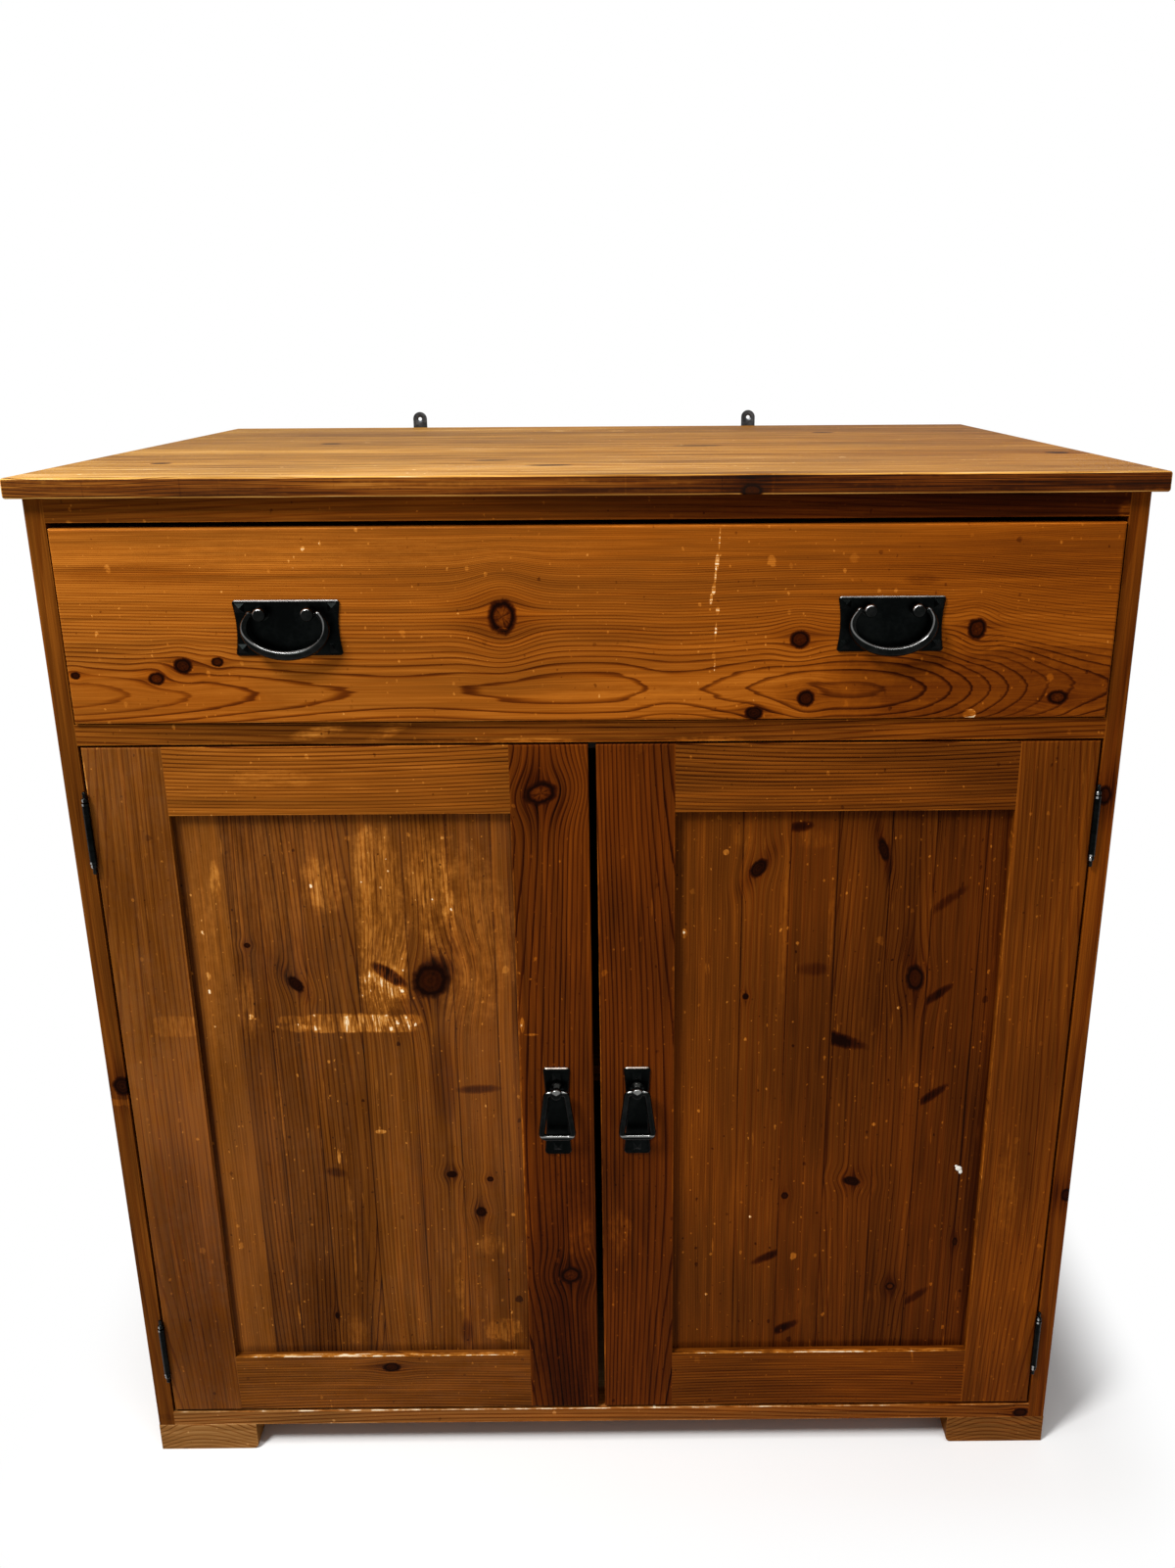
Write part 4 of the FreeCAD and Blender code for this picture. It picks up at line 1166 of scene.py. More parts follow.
class IronRecipe(Recipe):
    """Writes a mottled metal, with a highlight painted into its colour where one is given."""

    fine_detail: Two = (4.0, 0.6)
    broad_share: float = 0.2
    broad_detail: float = 3.0
    mottle_fine_share: float = 0.4
    mottle_step: Two = (0.40, 0.68)
    faint_shine: float = 0.6
    bump_distance: float = 0.0004
    rough_fine: float = 0.16
    rough_broad: float = 0.12
    rough_least: float = -0.14

    def __init__(self, finish: IronFinish, node: str = "", painted_highlight: Optional[PaintedHighlight] = None) -> None:
        """Starts the material of a finish.

        Args:
            finish: the finish that is written.
            node: the node that it is kept for, if any.
            painted_highlight: the highlight that is painted into that node's colour, if any.
        """
        super().__init__(bpy.data.materials.new(f"{finish.name}_{node}" if node else finish.name))
        self.metal = finish
        self.painted_highlight = painted_highlight
        self.position = self.node("TexCoord", out="Object")

    def build(self) -> bpy.types.Material:
        """Writes the tree.

        Returns:
            The finish's material.
        """
        finish = self.metal
        close = (finish.grain, finish.grain, finish.grain)
        wide = tuple(side * self.broad_share for side in close)
        fine = self.noise(self.vector("MULTIPLY", self.position, close), *self.fine_detail)
        broad = self.noise(self.vector("MULTIPLY", self.position, wide), self.broad_detail)
        mottle = self.step(self.mingle(broad, fine, self.mottle_fine_share), *self.mottle_step)
        colour = self.blend(mottle, (*finish.base, 1.0), (*finish.worn, 1.0))
        # Painted highlight: a pale line mixed into the colour where the surface faces the glint.
        if self.painted_highlight is not None:
            shine = self.painted_highlight.mask(self) * self.raised(mottle, self.faint_shine)
            colour = self.blend(shine, colour, (*self.painted_highlight.bright, 1.0))
        relief = {"Strength": finish.bump, "Distance": self.bump_distance, "Height": fine + broad}
        rough = fine * self.rough_fine + broad * self.rough_broad
        sockets = {
            "Base Color": colour,
            "Roughness": rough + (finish.rough + self.rough_least),
            "Normal": self.node("Bump", sockets=relief),
            "Metallic": finish.metallic,
            "Specular IOR Level": finish.specular,
        }
        self.finish(self.node("BsdfPrincipled", sockets=sockets))
        return self.owner


def dress(node: str, material: bpy.types.Material) -> None:
    """Puts a material in every slot of a CAD node.

    Args:
        node: the node's name.
        material: the material.
    """
    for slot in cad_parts[node].material_slots:
        slot.material = material
    LOG.info("dressed %s in %s", node, material.name)


def even_staves(seed: str, start: float, width: float, count: int, spread: float) -> tuple[Two, ...]:
    """Returns staves of one width whose tones differ by chance.

    Args:
        seed: what the tones are drawn from.
        start: where the first stave begins.
        width: the width of each.
        count: how many there are.
        spread: the greatest difference of two tones.

    Returns:
        The staves.
    """
    draw = random.Random(seed)
    return tuple((start + index * width, draw.uniform(-0.5, 0.5) * spread) for index in range(count))


# The least and greatest half sizes, turn and heart of a strewn knot.
STREWN_WIDE: Two = (0.005, 0.011)
STREWN_HIGH: Two = (0.006, 0.014)
STREWN_TURN: Two = (-30.0, 30.0)
STREWN_HEART: Two = (0.02, 0.2)

# Corners of a built piece that lie closer than this become one.
MERGE_GAP = 1e-6


def scatter(seed: str, count: int, low: Two, high: Two) -> tuple[Knot, ...]:
    """Strews knots over a face.

    Args:
        seed: what the places are drawn from.
        count: how many knots.
        low: the face's lower left corner.
        high: its upper right corner.

    Returns:
        The knots.
    """
    draw = random.Random(seed)
    return tuple(
        Knot(
            draw.uniform(low[0], high[0]),
            draw.uniform(low[1], high[1]),
            draw.uniform(*STREWN_WIDE),
            draw.uniform(*STREWN_HIGH),
            draw.uniform(*STREWN_TURN),
            draw.uniform(*STREWN_HEART),
        )
        for _ in range(count)
    )


def new_piece(name: str, shape: bmesh.types.BMesh, material: bpy.types.Material) -> bpy.types.Object:
    """Makes an object of a finished bmesh.

    Args:
        name: the piece's name.
        shape: its shape, which is freed.
        material: its material.

    Returns:
        The object, at the origin.
    """
    bmesh.ops.remove_doubles(shape, verts=shape.verts, dist=MERGE_GAP)
    bmesh.ops.recalc_face_normals(shape, faces=shape.faces)
    mesh = bpy.data.meshes.new(name)
    shape.to_mesh(mesh)
    shape.free()
    mesh.materials.append(material)
    for polygon in mesh.polygons:
        polygon.use_smooth = True
    piece = bpy.data.objects.new(name, mesh)
    bpy.context.scene.collection.objects.link(piece)
    LOG.info("built %s", name)
    return piece


@dataclass
class Case:
    """The carcass: top, sides, rails, shelf, back boards and feet.

    stain_edge is how far round its edges the stain comes on a bare face, and stain_end_share the part of that
    where none is left. feet gives each foot's tone.
    """

    stain_edge: float = 0.0008
    stain_end_share: float = 0.4
    knot_margin: float = 0.04
    side_knots: int = 11
    side_knot_levels: Two = (0.08, 1.0)
    back_knots: int = 14
    back_knot_margins: Two = (0.03, 0.05)
    nail_radius: float = 0.0028
    nail_height: float = 0.0004
    nail_ease: float = 0.00032
    nail_sides: int = 14
    nail_levels: tuple[float, ...] = (0.045, 0.52, 1.05)
    boards_across: int = 7
    nail_shares: tuple[float, ...] = (0.25, 0.75)
    deep_boards: tuple[str, ...] = (
        "left_drawer_runner",
        "right_drawer_runner",
        "left_drawer_kicker",
        "right_drawer_kicker",
        "left_shelf_cleat",
        "right_shelf_cleat",
    )
    feet: dict[str, float] = field(
        default_factory=lambda: {
            "front_left_foot": 0.56,
            "front_right_foot": 0.56,
            "rear_left_foot": 0.60,
            "rear_right_foot": 0.56,
        }
    )

    def top(self) -> Board:
        """Plans the top, whose knots and pale marks lie as they were found.

        Returns:
            The top.
        """
        knots = (
            Knot(-0.039, -0.270, 0.022, 0.007),
            Knot(-0.100, -0.207, 0.018, 0.006),
            Knot(0.116, -0.019, 0.026, 0.008),
            Knot(0.479, -0.152, 0.012, 0.010),
            Knot(0.144, -0.371, 0.010, 0.012, heart=0.16, through=1.065, deep=0.007),
            Knot(-0.31, 0.05, 0.012, 0.008),
            Knot(0.29, 0.21, 0.014, 0.007),
            Knot(-0.42, -0.22, 0.010, 0.007),
        )
        patches = (
            Patch(-0.054, 0.278, 0.020, 0.012, 0.30, ragged=1.6),
            Patch(0.024, 0.270, 0.016, 0.010, 0.30, ragged=1.6),
            Patch(0.0, -0.3715, 1.80, 0.0012, -0.395, ragged=0.2, soft=0.5),
            Patch(0.55, -0.3715, 0.75, 0.0012, -0.17, ragged=0.2),
            Patch(-0.46, 0.0, 0.34, 0.45, -0.035, ragged=0.3),
        )
        return Board(
            "top_board",
            Face.TOP,
            Run.RIGHT,
            tone=0.652,
            red=0.22,
            pitch=0.0034,
            depths=((0.0, 0.036), (0.08, 0.044), (0.16, 0.036), (0.3, 0.041), (1.0, 0.039)),
            lines=0.58,
            figure=2.7,
            blotch=0.10,
            first_heart=-0.3715,
            edge=0.08,
            staves=even_staves("top", start=-0.375, width=0.0943, count=8, spread=0.09),
            knots=knots,
            patches=patches,
            finish=RUBBED,
        )

    def side(self, hand: Hand) -> Board:
        """Returns one side, bare on its inner face.

        Args:
            hand: which side.

        Returns:
            The side.
        """
        node = f"{hand.name.lower()}_side"
        low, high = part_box(node)
        inner = high[0] if hand is Hand.LEFT else low[0]
        stain = hand.value * self.stain_edge
        lowest, highest = self.side_knot_levels
        corners = (low[1] + self.knot_margin, lowest), (high[1] - self.knot_margin, highest)
        strewn = scatter(node, self.side_knots, *corners)
        edge_knots = (
            Knot(-0.3588, 0.777, 0.014, 0.010, heart=0.16, through=0.4884, deep=0.007),
            Knot(-0.3588, 0.329, 0.014, 0.008, through=0.4966, deep=0.006),
        )
        if hand is Hand.LEFT:
            edge_knots = (Knot(-0.3588, 0.470, 0.020, 0.011, heart=0.06, through=-0.486, deep=0.010),)
        return Board(
            node,
            Face.SIDE,
            Run.UP,
            tone=0.36 if hand is Hand.LEFT else 0.40,
            red=0.45,
            staves=even_staves(node, start=low[1], width=0.0923, count=8, spread=0.12),
            knots=edge_knots + strewn,
            bare=Bare("X", inner + stain, inner + stain * self.stain_end_share),
        )

    def boards(self) -> list[Board]:
        """Plans every board of the case.

        Returns:
            The boards.
        """
        made = [self.top(), self.side(Hand.LEFT), self.side(Hand.RIGHT)]
        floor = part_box("bottom_board")[1][2]
        worn = (
            Patch(-0.254, 0.845, 0.030, 0.008, 0.30, turn=8.0, ragged=1.8),
            Patch(-0.190, 0.847, 0.026, 0.008, 0.28, turn=25.0, ragged=1.8),
            Patch(-0.08, 0.836, 0.09, 0.003, 0.26, ragged=1.8),
            Patch(0.10, 0.836, 0.05, 0.003, 0.26, ragged=1.8),
        )
        wear_and_painted_shade = (
            Patch(0.480, 1.046, 0.010, 0.012, 0.34, ragged=1.4),
            # Painted shade on the right of the rail, under the top.
            Patch(0.30, 1.05, 0.34, 0.04, -0.145, ragged=0.4),
        )
        made += [
            Board("top_rail", Face.FRONT, Run.RIGHT, tone=0.31, heart=1.10, lines=0.10, patches=wear_and_painted_shade),
            Board("middle_rail", Face.FRONT, Run.RIGHT, tone=0.41, heart=0.80, figure=1.5, patches=worn),
            Board(
                "bottom_board",
                Face.FRONT,
                Run.RIGHT,
                tone=0.51,
                heart=0.09,
                figure=1.4,
                edge=0.24,
                finish=SCUFFED,
                knots=(Knot(0.4733, 0.0401, 0.009, 0.006),),
                patches=(Patch(0.0, 0.0518, 0.52, 0.0014, 0.30, ragged=1.6),),
                bare=Bare("Z", floor - self.stain_edge, floor - self.stain_edge * self.stain_end_share),
            ),
        ]
        for node, tone in self.feet.items():
            made.append(Board(node, Face.FRONT, Run.RIGHT, tone, red=0.1, heart=0.06, finish=SCUFFED))
        made.append(Board("rear_rail", Face.FRONT, Run.RIGHT, tone=0.62, finish=RAW, heart=1.2))
        shelf_staves = even_staves("shelf", start=-0.36, width=0.09, count=8, spread=0.12)
        made.append(Board("shelf", Face.TOP, Run.RIGHT, tone=0.36, staves=shelf_staves))
        for node in self.deep_boards:
            made.append(Board(node, Face.TOP, Run.UP, tone=0.60, finish=RAW, heart=0.2))
        low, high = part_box("back_boards")
        width = (high[0] - low[0]) / self.boards_across
        beside, above = self.back_knot_margins
        corners = (low[0] + beside, low[2] + above), (high[0] - beside, high[2] - above)
        made.append(
            Board(
                "back_boards",
                Face.FRONT,
                Run.UP,
                tone=0.50,
                finish=RAW,
                staves=even_staves("back", low[0], width, self.boards_across, spread=0.2),
                blotch=0.18,
                knots=scatter("back", self.back_knots, *corners),
            )
        )
        return made

    def nails(self) -> bpy.types.Object:
        """Builds the nail heads that hold the back boards.

        Returns:
            The heads, as one piece.
        """
        low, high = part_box("back_boards")
        width = (high[0] - low[0]) / self.boards_across
        shape = bmesh.new()
        lie_back = Matrix.Rotation(-math.pi / 2.0, 4, "X")
        for index in range(self.boards_across):
            for share in self.nail_shares:
                for level in self.nail_levels:
                    middle = Vector((low[0] + (index + share) * width, high[1], level))
                    self.nail(shape, Matrix.Translation(middle) @ lie_back)
        return new_piece("back_nails", shape, IronRecipe(NAIL_STEEL).build())

    def nail(self, shape: bmesh.types.BMesh, place: Matrix) -> None:
        """Adds one low, eased nail head.

        Args:
            shape: the bmesh that it joins.
            place: where its foot stands.
        """
        made = bmesh.ops.create_cone(
            shape,
            cap_ends=True,
            segments=self.nail_sides,
            radius1=self.nail_radius,
            radius2=self.nail_radius,
            depth=self.nail_height * 2.0,
        )["verts"]
        crown = [vert for vert in made if vert.co.z > 0.0]
        rim = {edge for vert in crown for edge in vert.link_edges if all(end in crown for end in edge.verts)}
        bmesh.ops.transform(shape, matrix=place, verts=made)
        bmesh.ops.bevel(
            shape,
            geom=list(rim),
            offset=self.nail_ease,
            offset_type="OFFSET",
            segments=3,
            profile=0.5,
            affect="EDGES",
            material=-1,
        )

    def build(self) -> None:
        """Builds the nails and dresses every board."""
        nails = self.nails()
        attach(nails, "carcass")
        for board in self.boards():
            dress(board.node, PineRecipe(board).build())


@dataclass
class Drawer:
    """The drawer: one flat-sawn front, and a bare box behind it.

    drips are the pale blots of a run down the front: the middle of each and its half sizes.
    """

    drips: tuple[Four, ...] = (
        (0.1168, 1.022, 0.0008, 0.011),
        (0.1150, 1.003, 0.0020, 0.009),
        (0.1136, 0.990, 0.0009, 0.008),
        (0.1122, 0.978, 0.0019, 0.006),
        (0.1100, 0.969, 0.0015, 0.006),
        (0.1160, 0.958, 0.0020, 0.004),
        (0.1145, 0.938, 0.0010, 0.011),
        (0.1130, 0.917, 0.0020, 0.004),
        (0.1140, 0.908, 0.0008, 0.007),
    )

    def front(self) -> Board:
        """Plans the front, with its knots, flames and drips as they were found.

        Returns:
            The front.
        """
        knots = (
            Knot(-0.0792, 0.9538, 0.0125, 0.0165, heart=0.42),
            Knot(-0.3731, 0.9105, 0.0085, 0.0075, heart=0.14),
            Knot(-0.3987, 0.8987, 0.0075, 0.0060, heart=0.24),
            Knot(-0.3414, 0.9139, 0.0055, 0.0045, heart=0.20),
            Knot(-0.4728, 0.9020, 0.0045, 0.0035),
            Knot(0.1917, 0.9311, 0.0090, 0.0085, heart=0.18),
            Knot(0.3530, 0.9400, 0.0085, 0.0100, heart=0.22),
            Knot(0.1991, 0.8758, 0.0080, 0.0080, heart=0.12),
            Knot(0.1513, 0.8620, 0.0085, 0.0065, heart=0.08),
            Knot(0.4327, 0.8750, 0.0095, 0.0070, heart=0.26),
        )
        patches = [
            Patch(0.352, 0.8596, 0.0065, 0.0055, 0.60, ragged=0.3, soft=0.2),
            Patch(-0.0792, 0.9425, 0.0055, 0.0016, 0.55, ragged=0.6, soft=0.4),
            # Painted shade: the front darkens towards the right and the bottom.
            Patch(0.37, 0.885, 0.22, 0.050, -0.22, ragged=0.8),
            Patch(0.38, 0.995, 0.17, 0.045, -0.05, ragged=0.8),
            Patch(-0.40, 0.880, 0.14, 0.040, -0.07, ragged=0.8),
            Patch(-0.40, 0.995, 0.10, 0.012, -0.07, ragged=1.2),
            Patch(0.30, 0.985, 0.020, 0.006, -0.12, ragged=0.8),
            Patch(-0.25, 1.012, 0.30, 0.020, 0.05),
            Patch(0.05, 0.880, 0.12, 0.014, 0.05, ragged=1.2),
        ]
        for right, level, wide, high in self.drips:
            patches.append(Patch(right, level, wide, high, 0.38, turn=-3.0, ragged=2.6, soft=0.5))
        depths = (
            (0.0, 0.010),
            (0.28, 0.034),
            (0.52, 0.031),
            (0.58, 0.035),
            (0.70, 0.024),
            (0.78, 0.023),
            (0.95, 0.055),
            (1.0, 0.060),
        )
        return Board(
            "drawer_front",
            Face.FRONT,
            Run.RIGHT,
            tone=0.55,
            red=0.70,
            pitch=0.0120,
            tighten=1900.0,
            heart=0.885,
            depths=depths,
            lines=0.31,
            blotch=0.09,
            edge=0.30,
            knots=knots,
            patches=tuple(patches),
        )

    def build(self) -> None:
        """Dresses the front and the box."""
        boards = [self.front()]
        for node in ("drawer_left_side", "drawer_right_side"):
            boards.append(Board(node, Face.SIDE, Run.RIGHT, tone=0.64, finish=RAW, heart=1.05))
        boards.append(Board("drawer_back", Face.FRONT, Run.RIGHT, tone=0.64, finish=RAW, heart=1.05))
        boards.append(Board("drawer_bottom", Face.TOP, Run.RIGHT, tone=0.66, finish=RAW, heart=0.1))
        for board in boards:
            dress(board.node, PineRecipe(board).build())


@dataclass
class Door:
    """A framed door with a panel of narrow glued staves.

    dust_and_sheen is how much haze lies on it, a dusting with a painted sheen, and stile_dust how
    many times that on the hinged stile. recess is how far the panel goes into the frame, lock_red the red of
    the stile with the handle, and heart_aside how far outside a stile's middle its heart lies.
    """

    hand: Hand
    dust_and_sheen: float = 0.0
    recess: float = 0.010
    red: float = 0.40
    lock_red: float = 0.85
    heart_aside: float = 0.05
    stile_dust: float = 1.6

    def name(self, piece: str) -> str:
        """Returns the full name of a piece of this door."""
        return f"{self.hand.name.lower()}_{piece}"

    def left_boards(self) -> list[Board]:
        """Plans the left door's boards, which are the more worn.

        Returns:
            The panel, the stiles and the rails.
        """
        staves = (
            (-1.0, 0.03),
            (-0.360, -0.07),
            (-0.330, -0.04),
            (-0.289, -0.01),
            (-0.238, 0.05),
            (-0.187, 0.02),
            (-0.143, 0.0),
            (-0.100, 0.03),
        )
        panel_knots = (
            Knot(-0.1655, 0.5832, 0.0185, 0.0205, -32.0, heart=0.10),
            Knot(-0.3011, 0.5803, 0.0060, 0.0105, 38.0, heart=0.03),
            Knot(-0.3458, 0.6234, 0.0035, 0.0028, heart=0.08),
            Knot(-0.1552, 0.3557, 0.0060, 0.0042, heart=0.04),
            Knot(-0.1260, 0.3084, 0.0062, 0.0062, heart=0.05),
            Knot(-0.1148, 0.3492, 0.0038, 0.0032),
            Knot(-0.2900, 0.1751, 0.0026, 0.0046, heart=0.0),
        )
        panel_marks = (
            Patch(-0.250, 0.5362, 0.052, 0.0112, 0.30, ragged=2.4, soft=0.5, square=1),
            Patch(-0.308, 0.5400, 0.016, 0.0060, 0.22, ragged=3.0, soft=0.6),
            Patch(-0.302, 0.5310, 0.020, 0.0050, 0.24, ragged=3.0, soft=0.6),
            Patch(-0.192, 0.5385, 0.018, 0.0080, 0.26, ragged=3.0, soft=0.6),
            Patch(-0.1970, 0.5290, 0.016, 0.0050, 0.24, ragged=3.0, soft=0.6),
            # Painted shadow of the hinged stile along the panel's left edge.
            Patch(-0.4035, 0.4400, 0.0055, 0.4300, -0.15, ragged=0.2, soft=0.6),
            Patch(-0.222, 0.5350, 0.036, 0.0105, 0.20, ragged=2.2, soft=0.6, square=2),
            Patch(-0.214, 0.5720, 0.026, 0.036, 0.28, ragged=2.2, soft=0.8),
            Patch(-0.212, 0.6500, 0.026, 0.105, 0.26, ragged=2.6, soft=0.9, square=1),
            Patch(-0.266, 0.6860, 0.025, 0.034, 0.20, ragged=2.4, soft=0.9),
            Patch(-0.264, 0.7050, 0.026, 0.050, 0.06, ragged=1.6),
            Patch(-0.160, 0.6850, 0.030, 0.078, 0.24, ragged=2.2),
            Patch(-0.122, 0.6300, 0.050, 0.110, 0.18, ragged=2.4),
            Patch(-0.370, 0.6920, 0.0065, 0.026, 0.26, ragged=1.4, soft=0.8),
            Patch(-0.352, 0.5550, 0.012, 0.050, 0.20, ragged=1.6),
            Patch(-0.385, 0.6000, 0.016, 0.150, 0.08, ragged=1.6),
            Patch(-0.330, 0.6700, 0.075, 0.120, 0.08, ragged=0.8),
            Patch(-0.310, 0.6100, 0.060, 0.050, -0.05, ragged=1.2),
            Patch(-0.2070, 0.5900, 0.0235, 0.0080, -0.54, -37.0, ragged=0.9, soft=0.7),
            Patch(-0.1224, 0.4583, 0.0270, 0.0060, -0.26, 2.0, ragged=1.4),
            Patch(-0.1595, 0.5905, 0.0200, 0.0235, -0.22, -20.0, ragged=0.9, soft=0.8),
            Patch(-0.158, 0.4700, 0.016, 0.070, -0.12, ragged=0.8),
            Patch(-0.2650, 0.3000, 0.0020, 0.130, 0.22, ragged=1.6, soft=0.6),
            Patch(-0.2731, 0.3788, 0.0018, 0.010, 0.40, ragged=0.8, soft=0.4),
            Patch(-0.3034, 0.4078, 0.0014, 0.007, 0.34, ragged=0.8, soft=0.4),
            Patch(-0.3318, 0.1782, 0.0014, 0.016, 0.40, ragged=0.8, soft=0.4),
            Patch(-0.2270, 0.4085, 0.0065, 0.0026, 0.44, ragged=0.8, soft=0.3),
            Patch(-0.1538, 0.2150, 0.0060, 0.046, 0.20, ragged=1.2, soft=0.8),
            Patch(-0.1480, 0.1520, 0.0080, 0.022, -0.20, ragged=0.8),
            Patch(-0.1180, 0.2654, 0.020, 0.016, 0.14, ragged=2.6),
            Patch(-0.1076, 0.1550, 0.022, 0.018, 0.22, ragged=3.0, soft=0.5),
            Patch(-0.2689, 0.1560, 0.016, 0.022, 0.12, ragged=1.6),
            Patch(-0.2766, 0.3593, 0.014, 0.007, -0.16, -12.0),
            Patch(-0.190, 0.3000, 0.014, 0.150, -0.06),
            Patch(-0.3300, 0.4300, 0.0040, 0.060, 0.16, ragged=1.6),
        )
        hinge_marks = (
            Patch(-0.424, 0.5380, 0.024, 0.0130, 0.14, ragged=2.0, soft=0.6, square=1),
            Patch(-0.4788, 0.7950, 0.0012, 0.040, 0.40, ragged=0.8, soft=0.6),
            # Painted shade: the stile darkens towards the bottom.
            Patch(-0.440, 0.250, 0.060, 0.260, -0.09, ragged=0.8),
        )
        lock_marks = (
            Patch(-0.0782, 0.44, 0.0016, 0.33, 0.24, ragged=1.4),
            Patch(-0.020, 0.285, 0.016, 0.040, 0.16, ragged=2.4),
            Patch(-0.0745, 0.5360, 0.0024, 0.010, 0.34, ragged=1.6, soft=0.5),
            Patch(-0.0660, 0.5255, 0.0080, 0.0014, 0.36, soft=0.5),
            # Painted shade: the stile darkens towards the bottom.
            Patch(-0.030, 0.200, 0.060, 0.260, -0.13, ragged=0.6),
            Patch(-0.0648, 0.5879, 0.0012, 0.0012, 0.70, ragged=0.2, soft=0.3),
        )
        # Painted highlight along the lit top of the bottom rail, under the panel.
        ledge_painted_highlight = (Patch(-0.241, 0.1275, 0.170, 0.0016, 0.46, ragged=0.5, soft=0.3),)
        lock_knots = (
            Knot(-0.0494, 0.7835, 0.0160, 0.0115, 18.0, heart=0.34),
            Knot(-0.0314, 0.2323, 0.0120, 0.0105, 20.0, heart=0.22),
        )
        rub = (Patch(-0.30, 0.80, 0.05, 0.012, 0.12, ragged=2.0),)
        low_knots = (Knot(-0.2329, 0.1115, 0.0100, 0.0062, heart=0.10),)
        return [
            self.panel(0.40, red=0.26, lines=0.28, staves=staves, knots=panel_knots, marks=panel_marks),
            self.stile(Stile.HINGE, 0.415, marks=hinge_marks),
            self.stile(Stile.LOCK, 0.325, lock_knots, lock_marks),
            self.rail(Rail.TOP, 0.490, marks=rub),
            self.rail(Rail.BOTTOM, 0.46, low_knots, ledge_painted_highlight),
        ]

    def right_boards(self) -> list[Board]:
        """Plans the right door's boards, which are the darker.

        Returns:
            The panel, the stiles and the rails.
        """
        staves = (
            (-1.0, 0.03),
            (0.1455, 0.03),
            (0.192, -0.02),
            (0.2385, 0.01),
            (0.290, 0.0),
            (0.3335, -0.03),
            (0.383, -0.03),
        )
        panel_knots = (
            Knot(0.1610, 0.7017, 0.0070, 0.0115, -36.0, heart=0.05),
            Knot(0.2825, 0.7200, 0.0046, 0.0130, 16.0, heart=0.06),
            Knot(0.3218, 0.5813, 0.0092, 0.0150, 8.0, heart=0.14),
            Knot(0.1514, 0.5624, 0.0032, 0.0036, heart=0.0),
            Knot(0.2689, 0.3429, 0.0092, 0.0055, -16.0, heart=0.03),
            Knot(0.1985, 0.3255, 0.0038, 0.0042),
            Knot(0.3176, 0.2074, 0.0052, 0.0050, heart=0.26),
            Knot(0.3845, 0.2650, 0.0028, 0.0050),
        )
        panel_marks = (
            Patch(0.1985, 0.7450, 0.0170, 0.0066, -0.30, 6.0, kept=(0.192, 1.0), ragged=1.3),
            Patch(0.2480, 0.5125, 0.0360, 0.0090, -0.34, -18.0, kept=(0.2400, 1.0), ragged=1.3),
            Patch(0.3440, 0.5620, 0.0230, 0.0056, -0.26, 38.0, kept=(0.3345, 1.0), ragged=1.3),
            Patch(0.3470, 0.4465, 0.0240, 0.0062, -0.28, 38.0, kept=(0.3360, 1.0), ragged=1.3),
            Patch(0.1830, 0.2485, 0.0240, 0.0062, -0.30, 27.0, kept=(-1.0, 0.1925), ragged=1.3),
            Patch(0.2020, 0.1535, 0.0220, 0.0066, -0.30, 28.0, kept=(0.1925, 1.0), ragged=1.3),
            Patch(0.3450, 0.1935, 0.0220, 0.0060, -0.18, 38.0, kept=(0.3350, 1.0), ragged=1.3),
            Patch(0.3480, 0.6655, 0.0300, 0.0064, -0.15, 38.0, kept=(0.3350, 1.0), ragged=1.3),
            Patch(0.2181, 0.5923, 0.0200, 0.0090, -0.10, kept=(0.192, 0.2385)),
            Patch(0.2150, 0.7322, 0.0230, 0.0130, 0.10, kept=(0.192, 0.2385)),
            Patch(0.2345, 0.6400, 0.0040, 0.0900, 0.10, kept=(0.192, 0.2385)),
            Patch(0.1885, 0.6300, 0.0040, 0.1100, 0.10, kept=(0.1455, 0.192)),
            Patch(0.1289, 0.7188, 0.0034, 0.0034, 0.40, ragged=0.8, soft=0.4),
            Patch(0.0885, 0.6325, 0.0036, 0.0060, 0.40, ragged=0.8, soft=0.4),
            Patch(0.3070, 0.5484, 0.0018, 0.0018, 0.62, ragged=0.2, soft=0.3),
            Patch(0.1619, 0.2993, 0.0016, 0.0016, 0.62, ragged=0.2, soft=0.3),
            Patch(0.1160, 0.1993, 0.0018, 0.0018, 0.62, ragged=0.2, soft=0.3),
            Patch(0.2890, 0.4123, 0.0022, 0.0022, 0.50, ragged=0.4, soft=0.3),
            Patch(0.145, 0.735, 0.012, 0.020, 0.08, ragged=1.8),
            Patch(0.230, 0.180, 0.030, 0.040, 0.05, ragged=1.8),
        )
        hinge_marks = (
            Patch(0.4045, 0.45, 0.0014, 0.36, 0.18, ragged=0.9),
            Patch(0.433, 0.330, 0.018, 0.070, 0.10, ragged=2.0),
        )
        lock_marks = (
            Patch(0.022, 0.285, 0.014, 0.040, 0.16, ragged=2.4),
            Patch(0.0042, 0.44, 0.0010, 0.39, 0.26),
            Patch(0.0500, 0.4080, 0.0130, 0.0120, -0.24, ragged=0.6),
        )
        low_marks = (
            Patch(0.345, 0.125, 0.0012, 0.020, 0.24, 8.0, ragged=0.8),
            # Painted highlight along the lit top of the bottom rail, under the panel.
            Patch(0.241, 0.1275, 0.170, 0.0016, 0.40, ragged=0.5, soft=0.3),
        )
        return [
            self.panel(0.355, red=0.42, lines=0.18, staves=staves, knots=panel_knots, marks=panel_marks),
            self.stile(Stile.HINGE, 0.45, marks=hinge_marks),
            self.stile(Stile.LOCK, 0.31, marks=lock_marks),
            self.rail(Rail.TOP, 0.455),
            self.rail(Rail.BOTTOM, 0.42, marks=low_marks),
        ]

